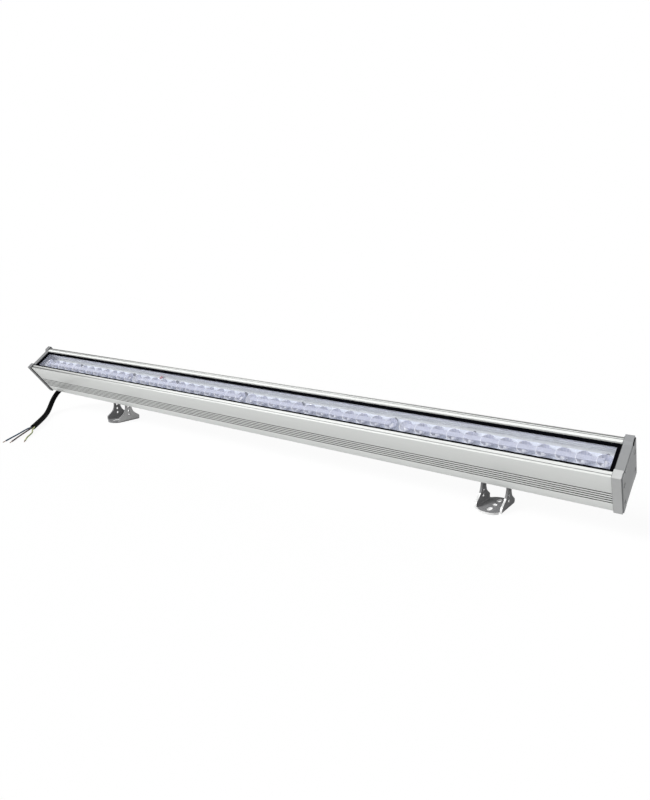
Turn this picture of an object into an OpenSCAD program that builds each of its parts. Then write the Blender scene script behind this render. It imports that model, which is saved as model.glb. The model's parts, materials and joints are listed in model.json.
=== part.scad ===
// Linear wall washer light: an extruded housing with a glazed row of lenses,
// two end caps, a driver inside, a mains lead and two tilting slot brackets.
// Millimetres, +X along the light, +Z up, standing on the two bracket bases.
// Inside the head, u runs back across the glass and v runs down from the top
// of the housing section.

/* [Housing] */
// Length of the light over its end caps
light_length = 1000; // [600:10:1500]
// Width of the housing section across the glass
housing_width = 51.5; // [50:0.5:60]
// Height of the housing section
housing_height = 57; // [54:0.5:66]
// Outer wall of the section
wall = 2.4; // [1.8:0.1:3]
// Lean of the head back from level
head_tilt = 37.1; // [30:0.1:45]
// Grooves in each side
groove_count = 5; // [3:1:6]
// Distance from one groove to the next
groove_pitch = 3.9; // [3:0.1:4.2]
// Width of a groove
groove_width = 0.9; // [0.5:0.1:1.4]
// Depth of a groove
groove_depth = 0.8; // [0.4:0.1:1.1]
// Distance of the lowest groove from the bottom
groove_rise = 14.1; // [10:0.1:18]
// Bevel at the back of the top
back_bevel = 2; // [0.5:0.1:3]
// Radius of the front top edge
front_round = 0.8; // [0.4:0.1:1.5]

/* [Glass and seals] */
// Front land before the glass recess
front_land = 7; // [6:0.1:8]
// Back land behind the glass recess
back_land = 8.5; // [7:0.1:9]
// Width of the black seal seen round the glass
seal_band = 3.5; // [2.5:0.1:4]
// Width of the black seal at its short ends
seal_end_band = 2; // [1.5:0.1:3]
// Thickness of the black seal
seal_thickness = 2.4; // [1.5:0.1:3]
// Depth of the seal below the lands
seal_drop = 2.2; // [1:0.1:3]
// Thickness of the cover glass
glass_thickness = 4; // [3:0.5:5]
// Thickness of the bed gasket under the glass
bed_thickness = 0.8; // [0.5:0.1:1.5]
// Reach of the ledge under the glass edge
ledge_reach = 2.8; // [2:0.1:3.4]
// Thickness of the ledge
ledge_thickness = 1.8; // [1.2:0.1:2.5]

/* [Optics] */
// Distance from one lens to the next
lens_pitch = 20.3; // [18:0.1:24]
// Diameter of a lens at its face
lens_face = 16; // [14:0.5:17]
// Diameter of a lens at its foot
lens_foot = 7; // [6:0.5:9]
// Height of a lens
lens_height = 7.6; // [6:0.1:8]
// Thickness of a lens rim
lens_rim = 1.2; // [0.8:0.1:2]
// Width of the web that joins the lenses
lens_web = 6; // [3:0.5:10]
// Width of an emitter package
emitter_size = 3.5; // [2:0.1:4]
// Height of an emitter package
emitter_height = 0.9; // [0.5:0.1:1.2]
// Distance of a board from the sides of the recess above it
board_margin = 4.5; // [3.5:0.1:5.5]
// Thickness of a board
board_thickness = 1.6; // [1:0.1:2]
// Gap between two boards
board_gap = 0.4; // [0.3:0.1:1]
// Room between the ledge and the shelf
optics_room = 7.9; // [7.7:0.1:9]
// Thickness of the shelf that carries the boards
shelf_thickness = 2.6; // [2.2:0.1:3.5]

/* [End caps] */
// Thickness of an end cap
cap_thickness = 10; // [8:0.5:14]
// Overhang of a cap round the housing
cap_overhang = 1.25; // [0.8:0.05:2]
// Front pad of a cap's top
cap_front_pad = 10.4; // [8:0.1:12]
// Back pad of a cap's top
cap_back_pad = 8; // [6:0.1:10]
// Depth of the dip between the pads
cap_dip = 3; // [2:0.1:3.4]
// Run of the slope behind the dip
cap_slope = 2.7; // [1:0.1:4]
// Height and inset of the border step
cap_step = 1.2; // [0.6:0.1:2]
// Thickness of an end gasket
gasket_thickness = 0.5; // [0.4:0.1:1.5]
// Inset of an end gasket from the housing sides
gasket_inset = 0.4; // [0.3:0.1:1]
// Width of the gasket frame
gasket_width = 7.6; // [7.2:0.1:9]

/* [Screws] */
// Shank diameter of the cap screws
cap_screw_d = 3; // [2.5:0.5:3.5]
// Head diameter of the cap screws
cap_screw_head_d = 5.5; // [5:0.1:6]
// Head height of the cap screws
cap_screw_head_h = 2.4; // [1.5:0.1:3]
// Depth of the counterbore for the cap screws
counterbore_depth = 3.2; // [3:0.1:4]
// Reach of the cap screws into the housing
cap_screw_reach = 10; // [6:0.5:20]
// Diameter of the screw ports
port_d = 7; // [6.5:0.1:8]
// Distance of the screw ports from the housing sides
port_inset = 5.25; // [5:0.05:6]
// Depth of the upper ports below the top
port_upper = 16.2; // [16:0.1:17]
// Height of the lower ports above the bottom
port_lower = 12.2; // [12:0.1:14]
// Shank diameter of the board screws
board_screw_d = 2.5; // [2:0.1:3]
// Head diameter of the board screws
board_screw_head_d = 4.4; // [4:0.1:5]
// Head height of the board screws
board_screw_head_h = 1.5; // [1:0.1:2]
// Distance of the board screws from the board's back edge
board_screw_inset = 3.2; // [2.8:0.1:3.6]

/* [Slot] */
// Width inside the bottom slot
slot_width = 30; // [27:0.5:34]
// Height inside the bottom slot
slot_room = 3.3; // [3:0.1:4]
// Width of the slot mouth
slot_mouth = 22; // [18:0.5:24]
// Thickness of the slot lips
slot_lip = 2; // [1.5:0.1:3]
// Thickness of the slot roof
slot_roof = 2; // [1.5:0.1:3]

/* [Brackets] */
// Distance of the left bracket from the left end
left_bracket_inset = 181; // [170:1:220]
// Distance of the right bracket from the right end
right_bracket_inset = 142; // [135:1:200]
// Sheet thickness of a bracket
sheet = 2.5; // [2:0.1:3]
// Inside width between the ears
ear_gap = 28.1; // [24:0.1:32]
// Inside bend radius
bend_inside = 1.5; // [0.5:0.1:2]
// Height of the pivot above the base
pivot_height = 32.3; // [30:0.1:40]
// Distance of the pivot below the housing
pivot_drop = 14.65; // [13:0.05:18]
// Distance of the pivot in front of the slot's middle
pivot_offset = 9.5; // [8:0.1:10]
// Half width of an ear's stem
stem_half = 5.5; // [5:0.1:7]
// Half depth of a base at the ears
base_half = 20; // [19.5:0.1:24]
// Bulge of the base beyond the ears
base_bulge = 7; // [4:0.1:9]
// Height of the straight foot of an ear
ear_foot = 6.4; // [5:0.1:8]
// Height at which an ear's stem starts to widen
neck_rise = 25; // [22:0.1:28]
// Flank of an ear: parts of the way down from neck to foot, and out from stem to base
ear_flank = [[0, 0], [0.24, 0.07], [0.48, 0.23], [0.64, 0.44], [0.77, 0.68], [0.88, 0.9], [0.95, 0.98], [1, 1]];
// Distance from one ear hole to the next
ear_hole_pitch = 7.1; // [6.5:0.1:8]
// Spare holes below the pivot
ear_hole_count = 3; // [1:1:3]
// Spacing of the two base slots
base_slot_spacing = 31; // [30:0.5:32]
// Length of a base slot
base_slot_length = 10; // [8:0.5:11]
// Width of a base slot
base_slot_width = 5; // [4:0.5:6]
// Diameter of the middle base hole
base_hole_d = 5.5; // [4:0.5:6.5]

/* [Slot shoes] */
// Length of a shoe's plate in the slot
shoe_length = 45; // [35:1:60]
// Radius of the lug round the pivot
lug_round = 6; // [5.5:0.1:6.5]
// Height of the shoe's pad below the housing
pad_height = 3; // [2:0.1:4]
// Pivot bolt diameter
pivot_d = 4; // [3:0.5:5]
// Head diameter of the pivot bolt
pivot_head_d = 7; // [6.5:0.1:9]
// Head height of the pivot bolt
pivot_head_h = 2.8; // [2:0.1:4]
// Height of the pivot nut
pivot_nut_h = 3.2; // [2.5:0.1:5]
// Diameter of a washer
washer_d = 9; // [8.5:0.1:10]
// Thickness of a washer
washer_t = 0.8; // [0.5:0.1:1.2]
// Lock screw diameter
lock_d = 5; // [4:0.5:6]
// Head diameter of the lock screw
lock_head_d = 8.5; // [7:0.1:9]
// Head height of the lock screw
lock_head_h = 4; // [3:0.1:5]
// Distance of the lock screw from the back of the slot mouth
lock_inset = 6; // [5:0.1:7]

/* [Driver] */
// Length of the driver
driver_length = 220; // [160:5:260]
// Distance of the driver from the housing sides
driver_side = 10.75; // [10:0.05:12]
// Room over the driver
driver_headroom = 1; // [0.5:0.1:4]
// Wall of the driver tray and cover
driver_wall = 1.5; // [1:0.1:2]
// Distance of the driver from the cable entry
driver_offset = 45; // [40:1:80]
// Width of the driver's fixing tabs
tab_length = 12; // [10:0.5:16]
// Driver fixing screw diameter
driver_screw_d = 3; // [2.5:0.5:3]
// Driver fixing screw head diameter
driver_screw_head_d = 5.6; // [5:0.1:6]
// Driver fixing screw head height
driver_screw_head_h = 2; // [1.5:0.1:3]
// Height of the driver board above the tray
standoff = 2.5; // [2:0.1:4]
// Length of the transformer
transformer_length = 26; // [18:1:32]
// Height of the transformer
transformer_height = 10; // [8:0.5:12]
// Diameter of a capacitor
capacitor_d = 10; // [8:0.5:12]
// Length of a capacitor
capacitor_length = 20; // [14:1:24]
// Length of the terminal block
terminal_length = 12; // [10:0.5:16]
// Height of the terminal block
terminal_height = 8; // [6:0.5:10]

/* [Cable] */
// Diameter of the cable sheath
cord_d = 8; // [6:0.5:9]
// Diameter of a conductor
conductor_d = 2.2; // [1.6:0.1:2.4]
// Diameter of the bare strands
strand_d = 1.3; // [1:0.1:1.6]
// Length of the bare strands
strand_length = 7; // [4:0.5:10]
// Distance of the cable entry from the left end
entry_inset = 18; // [17.6:0.1:25]
// Length of the entry foot in the slot
foot_length = 14; // [13:0.5:14.5]
// Stand of the entry foot below the housing
foot_stand = 0.2; // [0.1:0.1:1]
// Diameter of the boot's stub
stub_d = 10; // [8:0.5:11]
// Length of the boot's sleeve from its elbow
sleeve_length = 20; // [18:0.5:21]
// Diameter of the boot at its elbow
boot_d = 11.2; // [10.5:0.1:12]
// Wall of the boot over the cable at its end
boot_wall = 0.6; // [0.5:0.1:1]
// Relief rings on the boot
boot_rings = 4; // [2:1:5]
// Depth of the relief rings
ring_depth = 0.5; // [0.3:0.1:0.8]

/* [Hidden] */
$fn = 64;
overrun = 1;
fit = 0.05;
slack = 0.1;
side_gap = 0.15;

// Lengths along the light
end_x = light_length / 2;
profile_end = end_x - cap_thickness - gasket_thickness;
left_x = left_bracket_inset - end_x;
right_x = end_x - right_bracket_inset;
board_count = 4;
lenses_per_board = floor(2 * profile_end / (board_count * lens_pitch));
row_pitch = lens_pitch * lenses_per_board;

// Levels in the section, measured down from the top of the housing
seal_v = seal_drop;
glass_v = seal_v + seal_thickness;
bed_v = glass_v + glass_thickness;
ledge_v = bed_v + bed_thickness;
optics_v = ledge_v + ledge_thickness;
shelf_v = optics_v + optics_room;
chamber_v = shelf_v + shelf_thickness;
board_v = shelf_v - board_thickness;
lip_v = housing_height - slot_lip;
slot_v = lip_v - slot_room;
roof_v = slot_v - slot_roof;

// Places across the section
recess_u = front_land;
recess_end_u = housing_width - back_land;
row_u = (recess_u + recess_end_u) / 2;
mid_u = housing_width / 2;
board_u = recess_u + board_margin;
board_width = recess_end_u - board_margin - board_u;
board_screw_u = board_u + board_width - board_screw_inset;
port_us = [port_inset, housing_width - port_inset];
port_vs = [port_upper, housing_height - port_lower];
board_screw_places = [floor(lenses_per_board / 3), lenses_per_board - 1];
lens_v = board_v - lens_height;
cavity_share = 0.7;
link_length = 8;
link_width = 2;
link_height = 1.2;

// Pivot of the brackets
pivot_v = housing_height + pivot_drop;
pivot_back = mid_u - pivot_offset;
front_reach = (pivot_back + cap_overhang) * cos(head_tilt)
    + (pivot_v + cap_overhang) * sin(head_tilt);
back_reach = base_half + base_bulge;
pivot_y = (front_reach - back_reach) / 2;
ear_outer = ear_gap + 2 * sheet;
lug_width = ear_gap - 2 * fit;
lug_front_u = pivot_back - lug_round;
lock_u = mid_u + slot_mouth / 2 - lock_inset;

// Driver places
entry_x = entry_inset - end_x;
driver_x = entry_x + driver_offset;
driver_end_x = driver_x + driver_length;
driver_u = driver_side;
driver_width = housing_width - 2 * driver_side;
cover_v = chamber_v + driver_headroom;
driver_screw_xs = [driver_x - tab_length / 2, driver_end_x + tab_length / 2];
pcb_gap = 0.4;
pcb_t = 1.6;
pcb_inset = 6;
pcb_v = roof_v - driver_wall - standoff - pcb_t;
pcb_x = driver_x + driver_wall + pcb_gap;
pcb_end_x = driver_end_x - driver_wall - pcb_gap;
standoff_d = 5;
window_width = 12;
window_height = 4;
lead_spacing = 2.7;
lead_v = pcb_v - terminal_height / 2;
tray_v = lead_v + window_height / 2;
output_lead_d = 2;
lead_x = driver_end_x + 2 * tab_length;
lead_u = board_u + board_width + output_lead_d;
lead_hole_d = 2 * output_lead_d + 4 * slack;

// Boot places
foot_v = housing_height + foot_stand;
boot_v = foot_v + slack + boot_d / 2;
boot_end_u = mid_u - sleeve_length;

// Cable route: the boot's end, a straight start, then points on the way
// down to the ground and along it
straight_start = 4;
cable_start = head_point([entry_x, boot_end_u, boot_v]);
cable_second = head_point([entry_x, boot_end_u - straight_start, boot_v]);
cable_way = [
    [-481.1, -6.5, 26.4],
    [-477.6, -14.5, 20.2],
    [-472, -22, 14.9],
    [-465.1, -29.3, 10.8],
    [-457.6, -36.6, 7.8],
    [-449.7, -43.9, 5.9],
    [-441.7, -51.2, 4.8],
    [-433.7, -58.5, 4.2],
    [-425.7, -65.8, 4],
    [-409.7, -80.7, 4],
    [-394, -95.8, 4],
    [-378.5, -111, 4]
];
cable_route = concat([cable_start, cable_second], cable_way);
cable_end = cable_route[len(cable_route) - 1];
cable_heading = unit(cable_end - cable_route[len(cable_route) - 2]);
blue_way = [[-374, -123, 4.4], [-360, -146, 3], [-346, -172, 1.1]];
brown_way = [[-368, -124, 4], [-352, -147, 2.4], [-336, -168, 1.1]];
earth_way = [[-366, -119, 3.6], [-354, -127, 2.2], [-339, -143, 1.3], [-324, -155, 1.1]];

// A point of the head, given as place along the light, u and v
function head_point(p) = [
    p[0],
    pivot_y + (p[1] - pivot_back) * cos(head_tilt) + (p[2] - pivot_v) * sin(head_tilt),
    pivot_height + (p[1] - pivot_back) * sin(head_tilt) - (p[2] - pivot_v) * cos(head_tilt)
];
function unit(v) = v / norm(v);
function blend(a, b, c, d, t) =
    b + t * (c - a) / 2
    + t ^ 2 * (2 * a - 5 * b + 4 * c - d) / 2
    + t ^ 3 * (3 * b - a - 3 * c + d) / 2;
function smooth(p, steps) = let (n = len(p)) concat(
    [
        for (i = [0:n - 2]) for (k = [0:steps - 1])
            blend(
                i == 0 ? 2 * p[0] - p[1] : p[i - 1],
                p[i],
                p[i + 1],
                i == n - 2 ? 2 * p[n - 1] - p[n - 2] : p[i + 2],
                k / steps
            )
    ],
    [p[n - 1]]
);
function straight_out(p, steps) = concat(
    [p[0]],
    smooth([for (i = [1:len(p) - 1]) p[i]], steps)
);
function heading(p, i) = unit(p[min(i + 1, len(p) - 1)] - p[max(i - 1, 0)]);
function ring(p, i, d, sides) =
    let (t = heading(p, i), s = unit(cross(t, [0, 0, 1])), w = cross(s, t))
    [
        for (k = [0:sides - 1])
            let (a = 360 * (k + 1 / 2) / sides)
            p[i] + d / 2 * (cos(a) * s + sin(a) * w)
    ];

module in_head() {
    translate([0, pivot_y, pivot_height])
        rotate([head_tilt, 0, 0])
            translate([0, -pivot_back, pivot_v])
                children();
}
module slab(x, u, v) {
    translate([x[0], u[0], -v[1]])
        cube([x[1] - x[0], u[1] - u[0], v[1] - v[0]]);
}
module patch(u, v) {
    translate([u[0], -v[1]])
        square([u[1] - u[0], v[1] - v[0]]);
}
module along_x(x) {
    translate([x[0], 0, 0])
        rotate([90, 0, 90])
            linear_extrude(x[1] - x[0])
                children();
}
// Round bar of the head, upright in the section
module post(x, u, v, d) {
    translate([x, u, -v[1]])
        cylinder(d = d, h = v[1] - v[0]);
}
// Round bar along the light
module rod(x, u, v, d) {
    translate([x[0], u, -v])
        rotate([0, 90, 0])
            cylinder(d = d, h = x[1] - x[0]);
}
module sweep_tube(p, d, sides) {
    rings = len(p);
    polyhedron(
        points = [for (i = [0:rings - 1]) each ring(p, i, d, sides)],
        faces = concat(
            [for (k = [1:sides - 2]) [0, k, k + 1]],
            [
                for (i = [0:rings - 2]) for (k = [0:sides - 1])
                    let (a = i * sides + k, b = i * sides + (k + 1) % sides)
                    each [[a, a + sides, b + sides], [a, b + sides, b]]
            ],
            [for (k = [1:sides - 2]) let (o = (rings - 1) * sides) [o, o + k + 1, o + k]]
        )
    );
}

module housing_profile() {
    difference() {
        union() {
            difference() {
                patch([0, housing_width], [0, housing_height]);
                patch([recess_u, recess_end_u], [-overrun, ledge_v]);
                patch([recess_u + ledge_reach, recess_end_u - ledge_reach], [0, shelf_v]);
                patch([wall, housing_width - wall], [optics_v, shelf_v]);
                patch([wall, housing_width - wall], [chamber_v, roof_v]);
                patch([mid_u - slot_width / 2, mid_u + slot_width / 2], [slot_v, lip_v]);
                patch(
                    [mid_u - slot_mouth / 2, mid_u + slot_mouth / 2],
                    [slot_v, housing_height + overrun]
                );
                for (i = [0:groove_count - 1]) {
                    v = housing_height - groove_rise - i * groove_pitch;
                    patch([-overrun, groove_depth], [v, v + groove_width]);
                    patch(
                        [housing_width - groove_depth, housing_width + overrun],
                        [v, v + groove_width]
                    );
                }
                polygon([
                    [housing_width - back_bevel, overrun],
                    [housing_width - back_bevel, 0],
                    [housing_width, -back_bevel],
                    [housing_width + overrun, -back_bevel],
                    [housing_width + overrun, overrun]
                ]);
                difference() {
                    patch([-overrun, front_round], [-overrun, front_round]);
                    translate([front_round, -front_round])
                        circle(r = front_round);
                }
            }
            for (u = port_us) for (v = port_vs)
                intersection() {
                    translate([u, -v])
                        circle(d = port_d);
                    patch([wall / 2, housing_width - wall / 2], [0, housing_height]);
                }
        }
        for (u = port_us) for (v = port_vs)
            translate([u, -v])
                circle(d = cap_screw_d + 2 * slack);
    }
}
module housing_extrusion() {
    color([0.78, 0.79, 0.79])
        in_head()
            difference() {
                along_x([-profile_end, profile_end])
                    housing_profile();
                post(entry_x, mid_u, [roof_v - overrun, slot_v + overrun], stub_d + 2 * fit);
                for (x = board_screw_xs())
                    post(x, board_screw_u, [shelf_v - overrun, chamber_v + overrun],
                        board_screw_d + 2 * slack);
                for (x = driver_screw_xs)
                    post(x, mid_u, [roof_v - overrun, slot_v + overrun],
                        driver_screw_d + 2 * slack);
                post(lead_x, lead_u, [shelf_v - overrun, chamber_v + overrun], lead_hole_d);
            }
}

module cap_outline(inset) {
    dip_u = cap_front_pad - cap_overhang;
    dip_end_u = housing_width + cap_overhang - cap_back_pad;
    dip_v = cap_dip - cap_overhang;
    difference() {
        patch(
            [inset - cap_overhang, housing_width + cap_overhang - inset],
            [inset - cap_overhang, housing_height + cap_overhang - inset]
        );
        polygon([
            [dip_u - inset, overrun + cap_overhang],
            [dip_u - inset, -dip_v - inset],
            [dip_end_u - cap_slope + inset, -dip_v - inset],
            [dip_end_u + inset, cap_overhang],
            [dip_end_u + inset, overrun + cap_overhang]
        ]);
        patch(
            [mid_u - slot_width / 2 - inset, mid_u + slot_width / 2 + inset],
            [housing_height - inset, housing_height + cap_overhang + overrun]
        );
    }
}
module end_cap() {
    difference() {
        union() {
            along_x([end_x - cap_thickness, end_x - cap_step])
                cap_outline(0);
            along_x([end_x - cap_thickness, end_x])
                cap_outline(cap_step);
        }
        for (u = port_us) for (v = port_vs) {
            rod([end_x - cap_thickness - overrun, end_x], u, v, cap_screw_d + 2 * slack);
            rod([end_x - counterbore_depth, end_x + overrun], u, v, cap_screw_head_d + 4 * slack);
        }
    }
}
module right_end_cap() {
    color([0.62, 0.63, 0.64])
        in_head()
            end_cap();
}
module left_end_cap() {
    color([0.62, 0.63, 0.64])
        in_head()
            mirror([1, 0, 0])
                end_cap();
}
module end_gasket() {
    along_x([profile_end, profile_end + gasket_thickness])
        difference() {
            patch(
                [gasket_inset, housing_width - gasket_inset],
                [gasket_inset, housing_height - gasket_inset]
            );
            patch(
                [cap_front_pad - cap_overhang, housing_width + cap_overhang - cap_back_pad],
                [-overrun, cap_dip - cap_overhang + gasket_inset]
            );
            patch(
                [gasket_inset + gasket_width, housing_width - gasket_inset - gasket_width],
                [optics_v, roof_v]
            );
            for (u = port_us) for (v = port_vs)
                translate([u, -v])
                    circle(d = cap_screw_d + 2 * slack);
        }
}
module right_end_gasket() {
    color([0.2, 0.2, 0.2])
        in_head()
            end_gasket();
}
module left_end_gasket() {
    color([0.2, 0.2, 0.2])
        in_head()
            mirror([1, 0, 0])
                end_gasket();
}
module cap_screw(u, v) {
    seat = end_x - counterbore_depth;
    difference() {
        union() {
            rod([profile_end - cap_screw_reach, seat + overrun / 2], u, v, cap_screw_d);
            rod([seat, seat + cap_screw_head_h], u, v, cap_screw_head_d);
        }
        translate([seat + cap_screw_head_h / 2, u, -v])
            rotate([0, 90, 0])
                cylinder(d = cap_screw_head_d / 2, h = cap_screw_head_h, $fn = 6);
    }
}
module end_cap_screws() {
    color([0.45, 0.45, 0.46])
        in_head()
            for (side = [0, 1])
                mirror([side, 0, 0])
                    for (u = port_us) for (v = port_vs)
                        cap_screw(u, v);
}

module glass_frame(v, band, end_band) {
    difference() {
        slab([-profile_end, profile_end], [recess_u + slack, recess_end_u - slack], v);
        slab(
            [end_band - profile_end, profile_end - end_band],
            [recess_u + band, recess_end_u - band],
            [v[0] - overrun, v[1] + overrun]
        );
    }
}
module cover_glass() {
    color([0.8, 0.88, 0.9, 0.4])
        in_head()
            slab(
                [slack - profile_end, profile_end - slack],
                [recess_u + slack, recess_end_u - slack],
                [glass_v, bed_v]
            );
}
module glass_seal() {
    color([0.08, 0.08, 0.08])
        in_head()
            glass_frame([seal_v, glass_v], seal_band, seal_end_band);
}
module glass_bed_gasket() {
    color([0.25, 0.25, 0.25])
        in_head()
            glass_frame([bed_v, ledge_v], ledge_reach, seal_end_band);
}

module led_board(i) {
    x = (i - board_count / 2) * row_pitch;
    difference() {
        slab(
            [x + board_gap / 2, x + row_pitch - board_gap / 2],
            [board_u, board_u + board_width],
            [board_v, shelf_v]
        );
        for (k = board_screw_places)
            post(x + lens_pitch * (k + 1 / 2), board_screw_u, [board_v - overrun, shelf_v + overrun],
                board_screw_d + 2 * slack);
    }
}
function board_screw_xs() = [
    for (i = [0:board_count - 1]) for (k = board_screw_places)
        (i - board_count / 2) * row_pitch + lens_pitch * (k + 1 / 2)
];
module lens_strip(i) {
    x = (i - board_count / 2) * row_pitch;
    foot = lens_foot / 2;
    face = lens_face / 2;
    union() {
        for (k = [0:lenses_per_board - 1])
            translate([x + lens_pitch * (k + 1 / 2), row_u, -board_v])
                rotate_extrude()
                    polygon([
                        [0, lens_height - lens_rim],
                        [0, emitter_height + slack],
                        [foot * cavity_share, emitter_height + slack],
                        [foot * cavity_share, 0],
                        [foot, 0],
                        [face - lens_rim / 2, lens_height - lens_rim],
                        [face, lens_height - lens_rim],
                        [face, lens_height],
                        [0, lens_height]
                    ]);
        slab(
            [x + lens_pitch / 2, x + row_pitch - lens_pitch / 2],
            [row_u - lens_web / 2, row_u + lens_web / 2],
            [lens_v, lens_v + lens_rim]
        );
    }
}
module led_board_1() {
    color([0.93, 0.94, 0.95])
        in_head()
            led_board(0);
}
module led_board_2() {
    color([0.93, 0.94, 0.95])
        in_head()
            led_board(1);
}
module led_board_3() {
    color([0.93, 0.94, 0.95])
        in_head()
            led_board(2);
}
module led_board_4() {
    color([0.93, 0.94, 0.95])
        in_head()
            led_board(3);
}
module lens_strip_1() {
    color([0.8, 0.82, 0.9, 0.6])
        in_head()
            lens_strip(0);
}
module lens_strip_2() {
    color([0.8, 0.82, 0.9, 0.6])
        in_head()
            lens_strip(1);
}
module lens_strip_3() {
    color([0.8, 0.82, 0.9, 0.6])
        in_head()
            lens_strip(2);
}
module lens_strip_4() {
    color([0.8, 0.82, 0.9, 0.6])
        in_head()
            lens_strip(3);
}
module led_emitters() {
    color([0.95, 0.9, 0.6])
        in_head()
            for (k = [0:board_count * lenses_per_board - 1]) {
                x = lens_pitch * (k + 1 / 2) - board_count * row_pitch / 2;
                slab(
                    [x - emitter_size / 2, x + emitter_size / 2],
                    [row_u - emitter_size / 2, row_u + emitter_size / 2],
                    [board_v - emitter_height, board_v]
                );
            }
}
module board_screws() {
    color([0.3, 0.3, 0.32])
        in_head()
            for (x = board_screw_xs()) {
                post(x, board_screw_u, [board_v - board_screw_head_h / 2, chamber_v - slack],
                    board_screw_d);
                difference() {
                    post(x, board_screw_u, [board_v - board_screw_head_h, board_v],
                        board_screw_head_d);
                    post(x, board_screw_u,
                        [board_v - board_screw_head_h - overrun, board_v - board_screw_head_h / 2],
                        board_screw_head_d / 2);
                }
            }
}
module board_links() {
    color([0.9, 0.9, 0.9])
        in_head()
            for (i = [1:board_count - 1]) {
                x = (i - board_count / 2) * row_pitch;
                slab(
                    [x - link_length / 2, x + link_length / 2],
                    [board_u + link_width / 2, board_u + 3 * link_width / 2],
                    [board_v - link_height, board_v]
                );
            }
}

// Bare run of wire between two points, with round corners
module wire_run(p, q, d) {
    reach = norm(q - p);
    translate(p)
        rotate([0, acos((q[2] - p[2]) / reach), atan2(q[1] - p[1], q[0] - p[0])])
            cylinder(d = d, h = reach);
}
module wire(points, d) {
    for (i = [0:len(points) - 2])
        wire_run(points[i], points[i + 1], d);
    for (i = [1:len(points) - 2])
        translate(points[i])
            sphere(d = d);
}
module output_leads() {
    rise_v = board_v - output_lead_d / 2 - fit;
    color([0.8, 0.15, 0.12])
        in_head()
            for (side = [-1, 1]) {
                x = lead_x + side * (output_lead_d + slack) / 2;
                u = mid_u + side * lead_spacing / 2;
                wire([
                    [pcb_end_x - pcb_inset, u, -lead_v],
                    [x, u, -lead_v],
                    [x, lead_u, -lead_v],
                    [x, lead_u, -rise_v],
                    [x, board_u + board_width - output_lead_d, -rise_v]
                ], output_lead_d);
            }
}
module driver_shell(v) {
    slab([driver_x, driver_end_x], [driver_u, driver_u + driver_width], v);
}
module driver_room(v) {
    slab(
        [driver_x + driver_wall, driver_end_x - driver_wall],
        [driver_u + driver_wall, driver_u + driver_width - driver_wall],
        v
    );
}
module driver_tray() {
    color([0.72, 0.73, 0.74])
        in_head()
            difference() {
                union() {
                    difference() {
                        driver_shell([tray_v, roof_v]);
                        driver_room([tray_v - overrun, roof_v - driver_wall]);
                    }
                    slab(
                        [driver_x - tab_length, driver_end_x + tab_length],
                        [mid_u - tab_length / 2, mid_u + tab_length / 2],
                        [roof_v - driver_wall, roof_v]
                    );
                    for (x = [pcb_x + pcb_inset, pcb_end_x - pcb_inset]) for (side = [-1, 1])
                        post(x, mid_u + side * driver_width / 3,
                            [roof_v - driver_wall - standoff, roof_v - driver_wall / 2],
                            standoff_d);
                }
                for (x = driver_screw_xs)
                    post(x, mid_u, [roof_v - driver_wall - overrun, roof_v + overrun],
                        driver_screw_d + 2 * slack);
            }
}
module driver_cover() {
    color([0.72, 0.73, 0.74])
        in_head()
            difference() {
                driver_shell([cover_v, tray_v]);
                driver_room([cover_v + driver_wall, tray_v + overrun]);
                slab(
                    [driver_x - overrun, driver_end_x + overrun],
                    [mid_u - window_width / 2, mid_u + window_width / 2],
                    [tray_v - window_height, tray_v + overrun]
                );
            }
}
module driver_board() {
    color([0.1, 0.4, 0.2])
        in_head()
            slab(
                [pcb_x, pcb_end_x],
                [driver_u + driver_wall + pcb_gap, driver_u + driver_width - driver_wall - pcb_gap],
                [pcb_v, pcb_v + pcb_t]
            );
}
module driver_transformer() {
    x = (pcb_x + pcb_end_x - transformer_length) / 2;
    color([0.85, 0.75, 0.3])
        in_head() {
            slab(
                [x, x + transformer_length],
                [mid_u - driver_width / 4, mid_u + driver_width / 4],
                [pcb_v - transformer_height, pcb_v]
            );
            slab(
                [x + transformer_length / 4, x + 3 * transformer_length / 4],
                [mid_u - driver_width / 3, mid_u + driver_width / 3],
                [pcb_v - 3 * transformer_height / 4, pcb_v - transformer_height / 4]
            );
        }
}
module driver_capacitors() {
    span = pcb_end_x - pcb_x;
    color([0.15, 0.15, 0.2])
        in_head()
            for (share = [1 / 4, 3 / 4])
                rod(
                    [
                        pcb_x + share * span - capacitor_length / 2,
                        pcb_x + share * span + capacitor_length / 2
                    ],
                    mid_u, pcb_v - capacitor_d / 2, capacitor_d
                );
}
module terminal_block() {
    color([0.3, 0.55, 0.3])
        in_head()
            for (x = [pcb_x + pcb_inset, pcb_end_x - pcb_inset - terminal_length])
                difference() {
                    slab(
                        [x, x + terminal_length],
                        [mid_u - 2 * lead_spacing, mid_u + 2 * lead_spacing],
                        [pcb_v - terminal_height, pcb_v]
                    );
                    for (k = [-1:1])
                        post(x + terminal_length / 2, mid_u + k * lead_spacing,
                            [pcb_v - terminal_height - overrun, pcb_v - terminal_height + overrun],
                            conductor_d);
                }
}
module driver_screws() {
    head_v = roof_v - driver_wall;
    color([0.5, 0.5, 0.52])
        in_head()
            for (x = driver_screw_xs) {
                post(x, mid_u, [head_v - driver_screw_head_h / 2, slot_v - slack], driver_screw_d);
                post(x, mid_u, [head_v - driver_screw_head_h, head_v], driver_screw_head_d);
            }
}
module supply_leads() {
    color([0.35, 0.3, 0.3])
        in_head()
            for (k = [-1:1])
                wire([
                    [entry_x, mid_u + k * lead_spacing, -roof_v],
                    [entry_x, mid_u + k * lead_spacing, -lead_v],
                    [pcb_x + pcb_inset, mid_u + k * lead_spacing, -lead_v]
                ], conductor_d);
}

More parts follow.
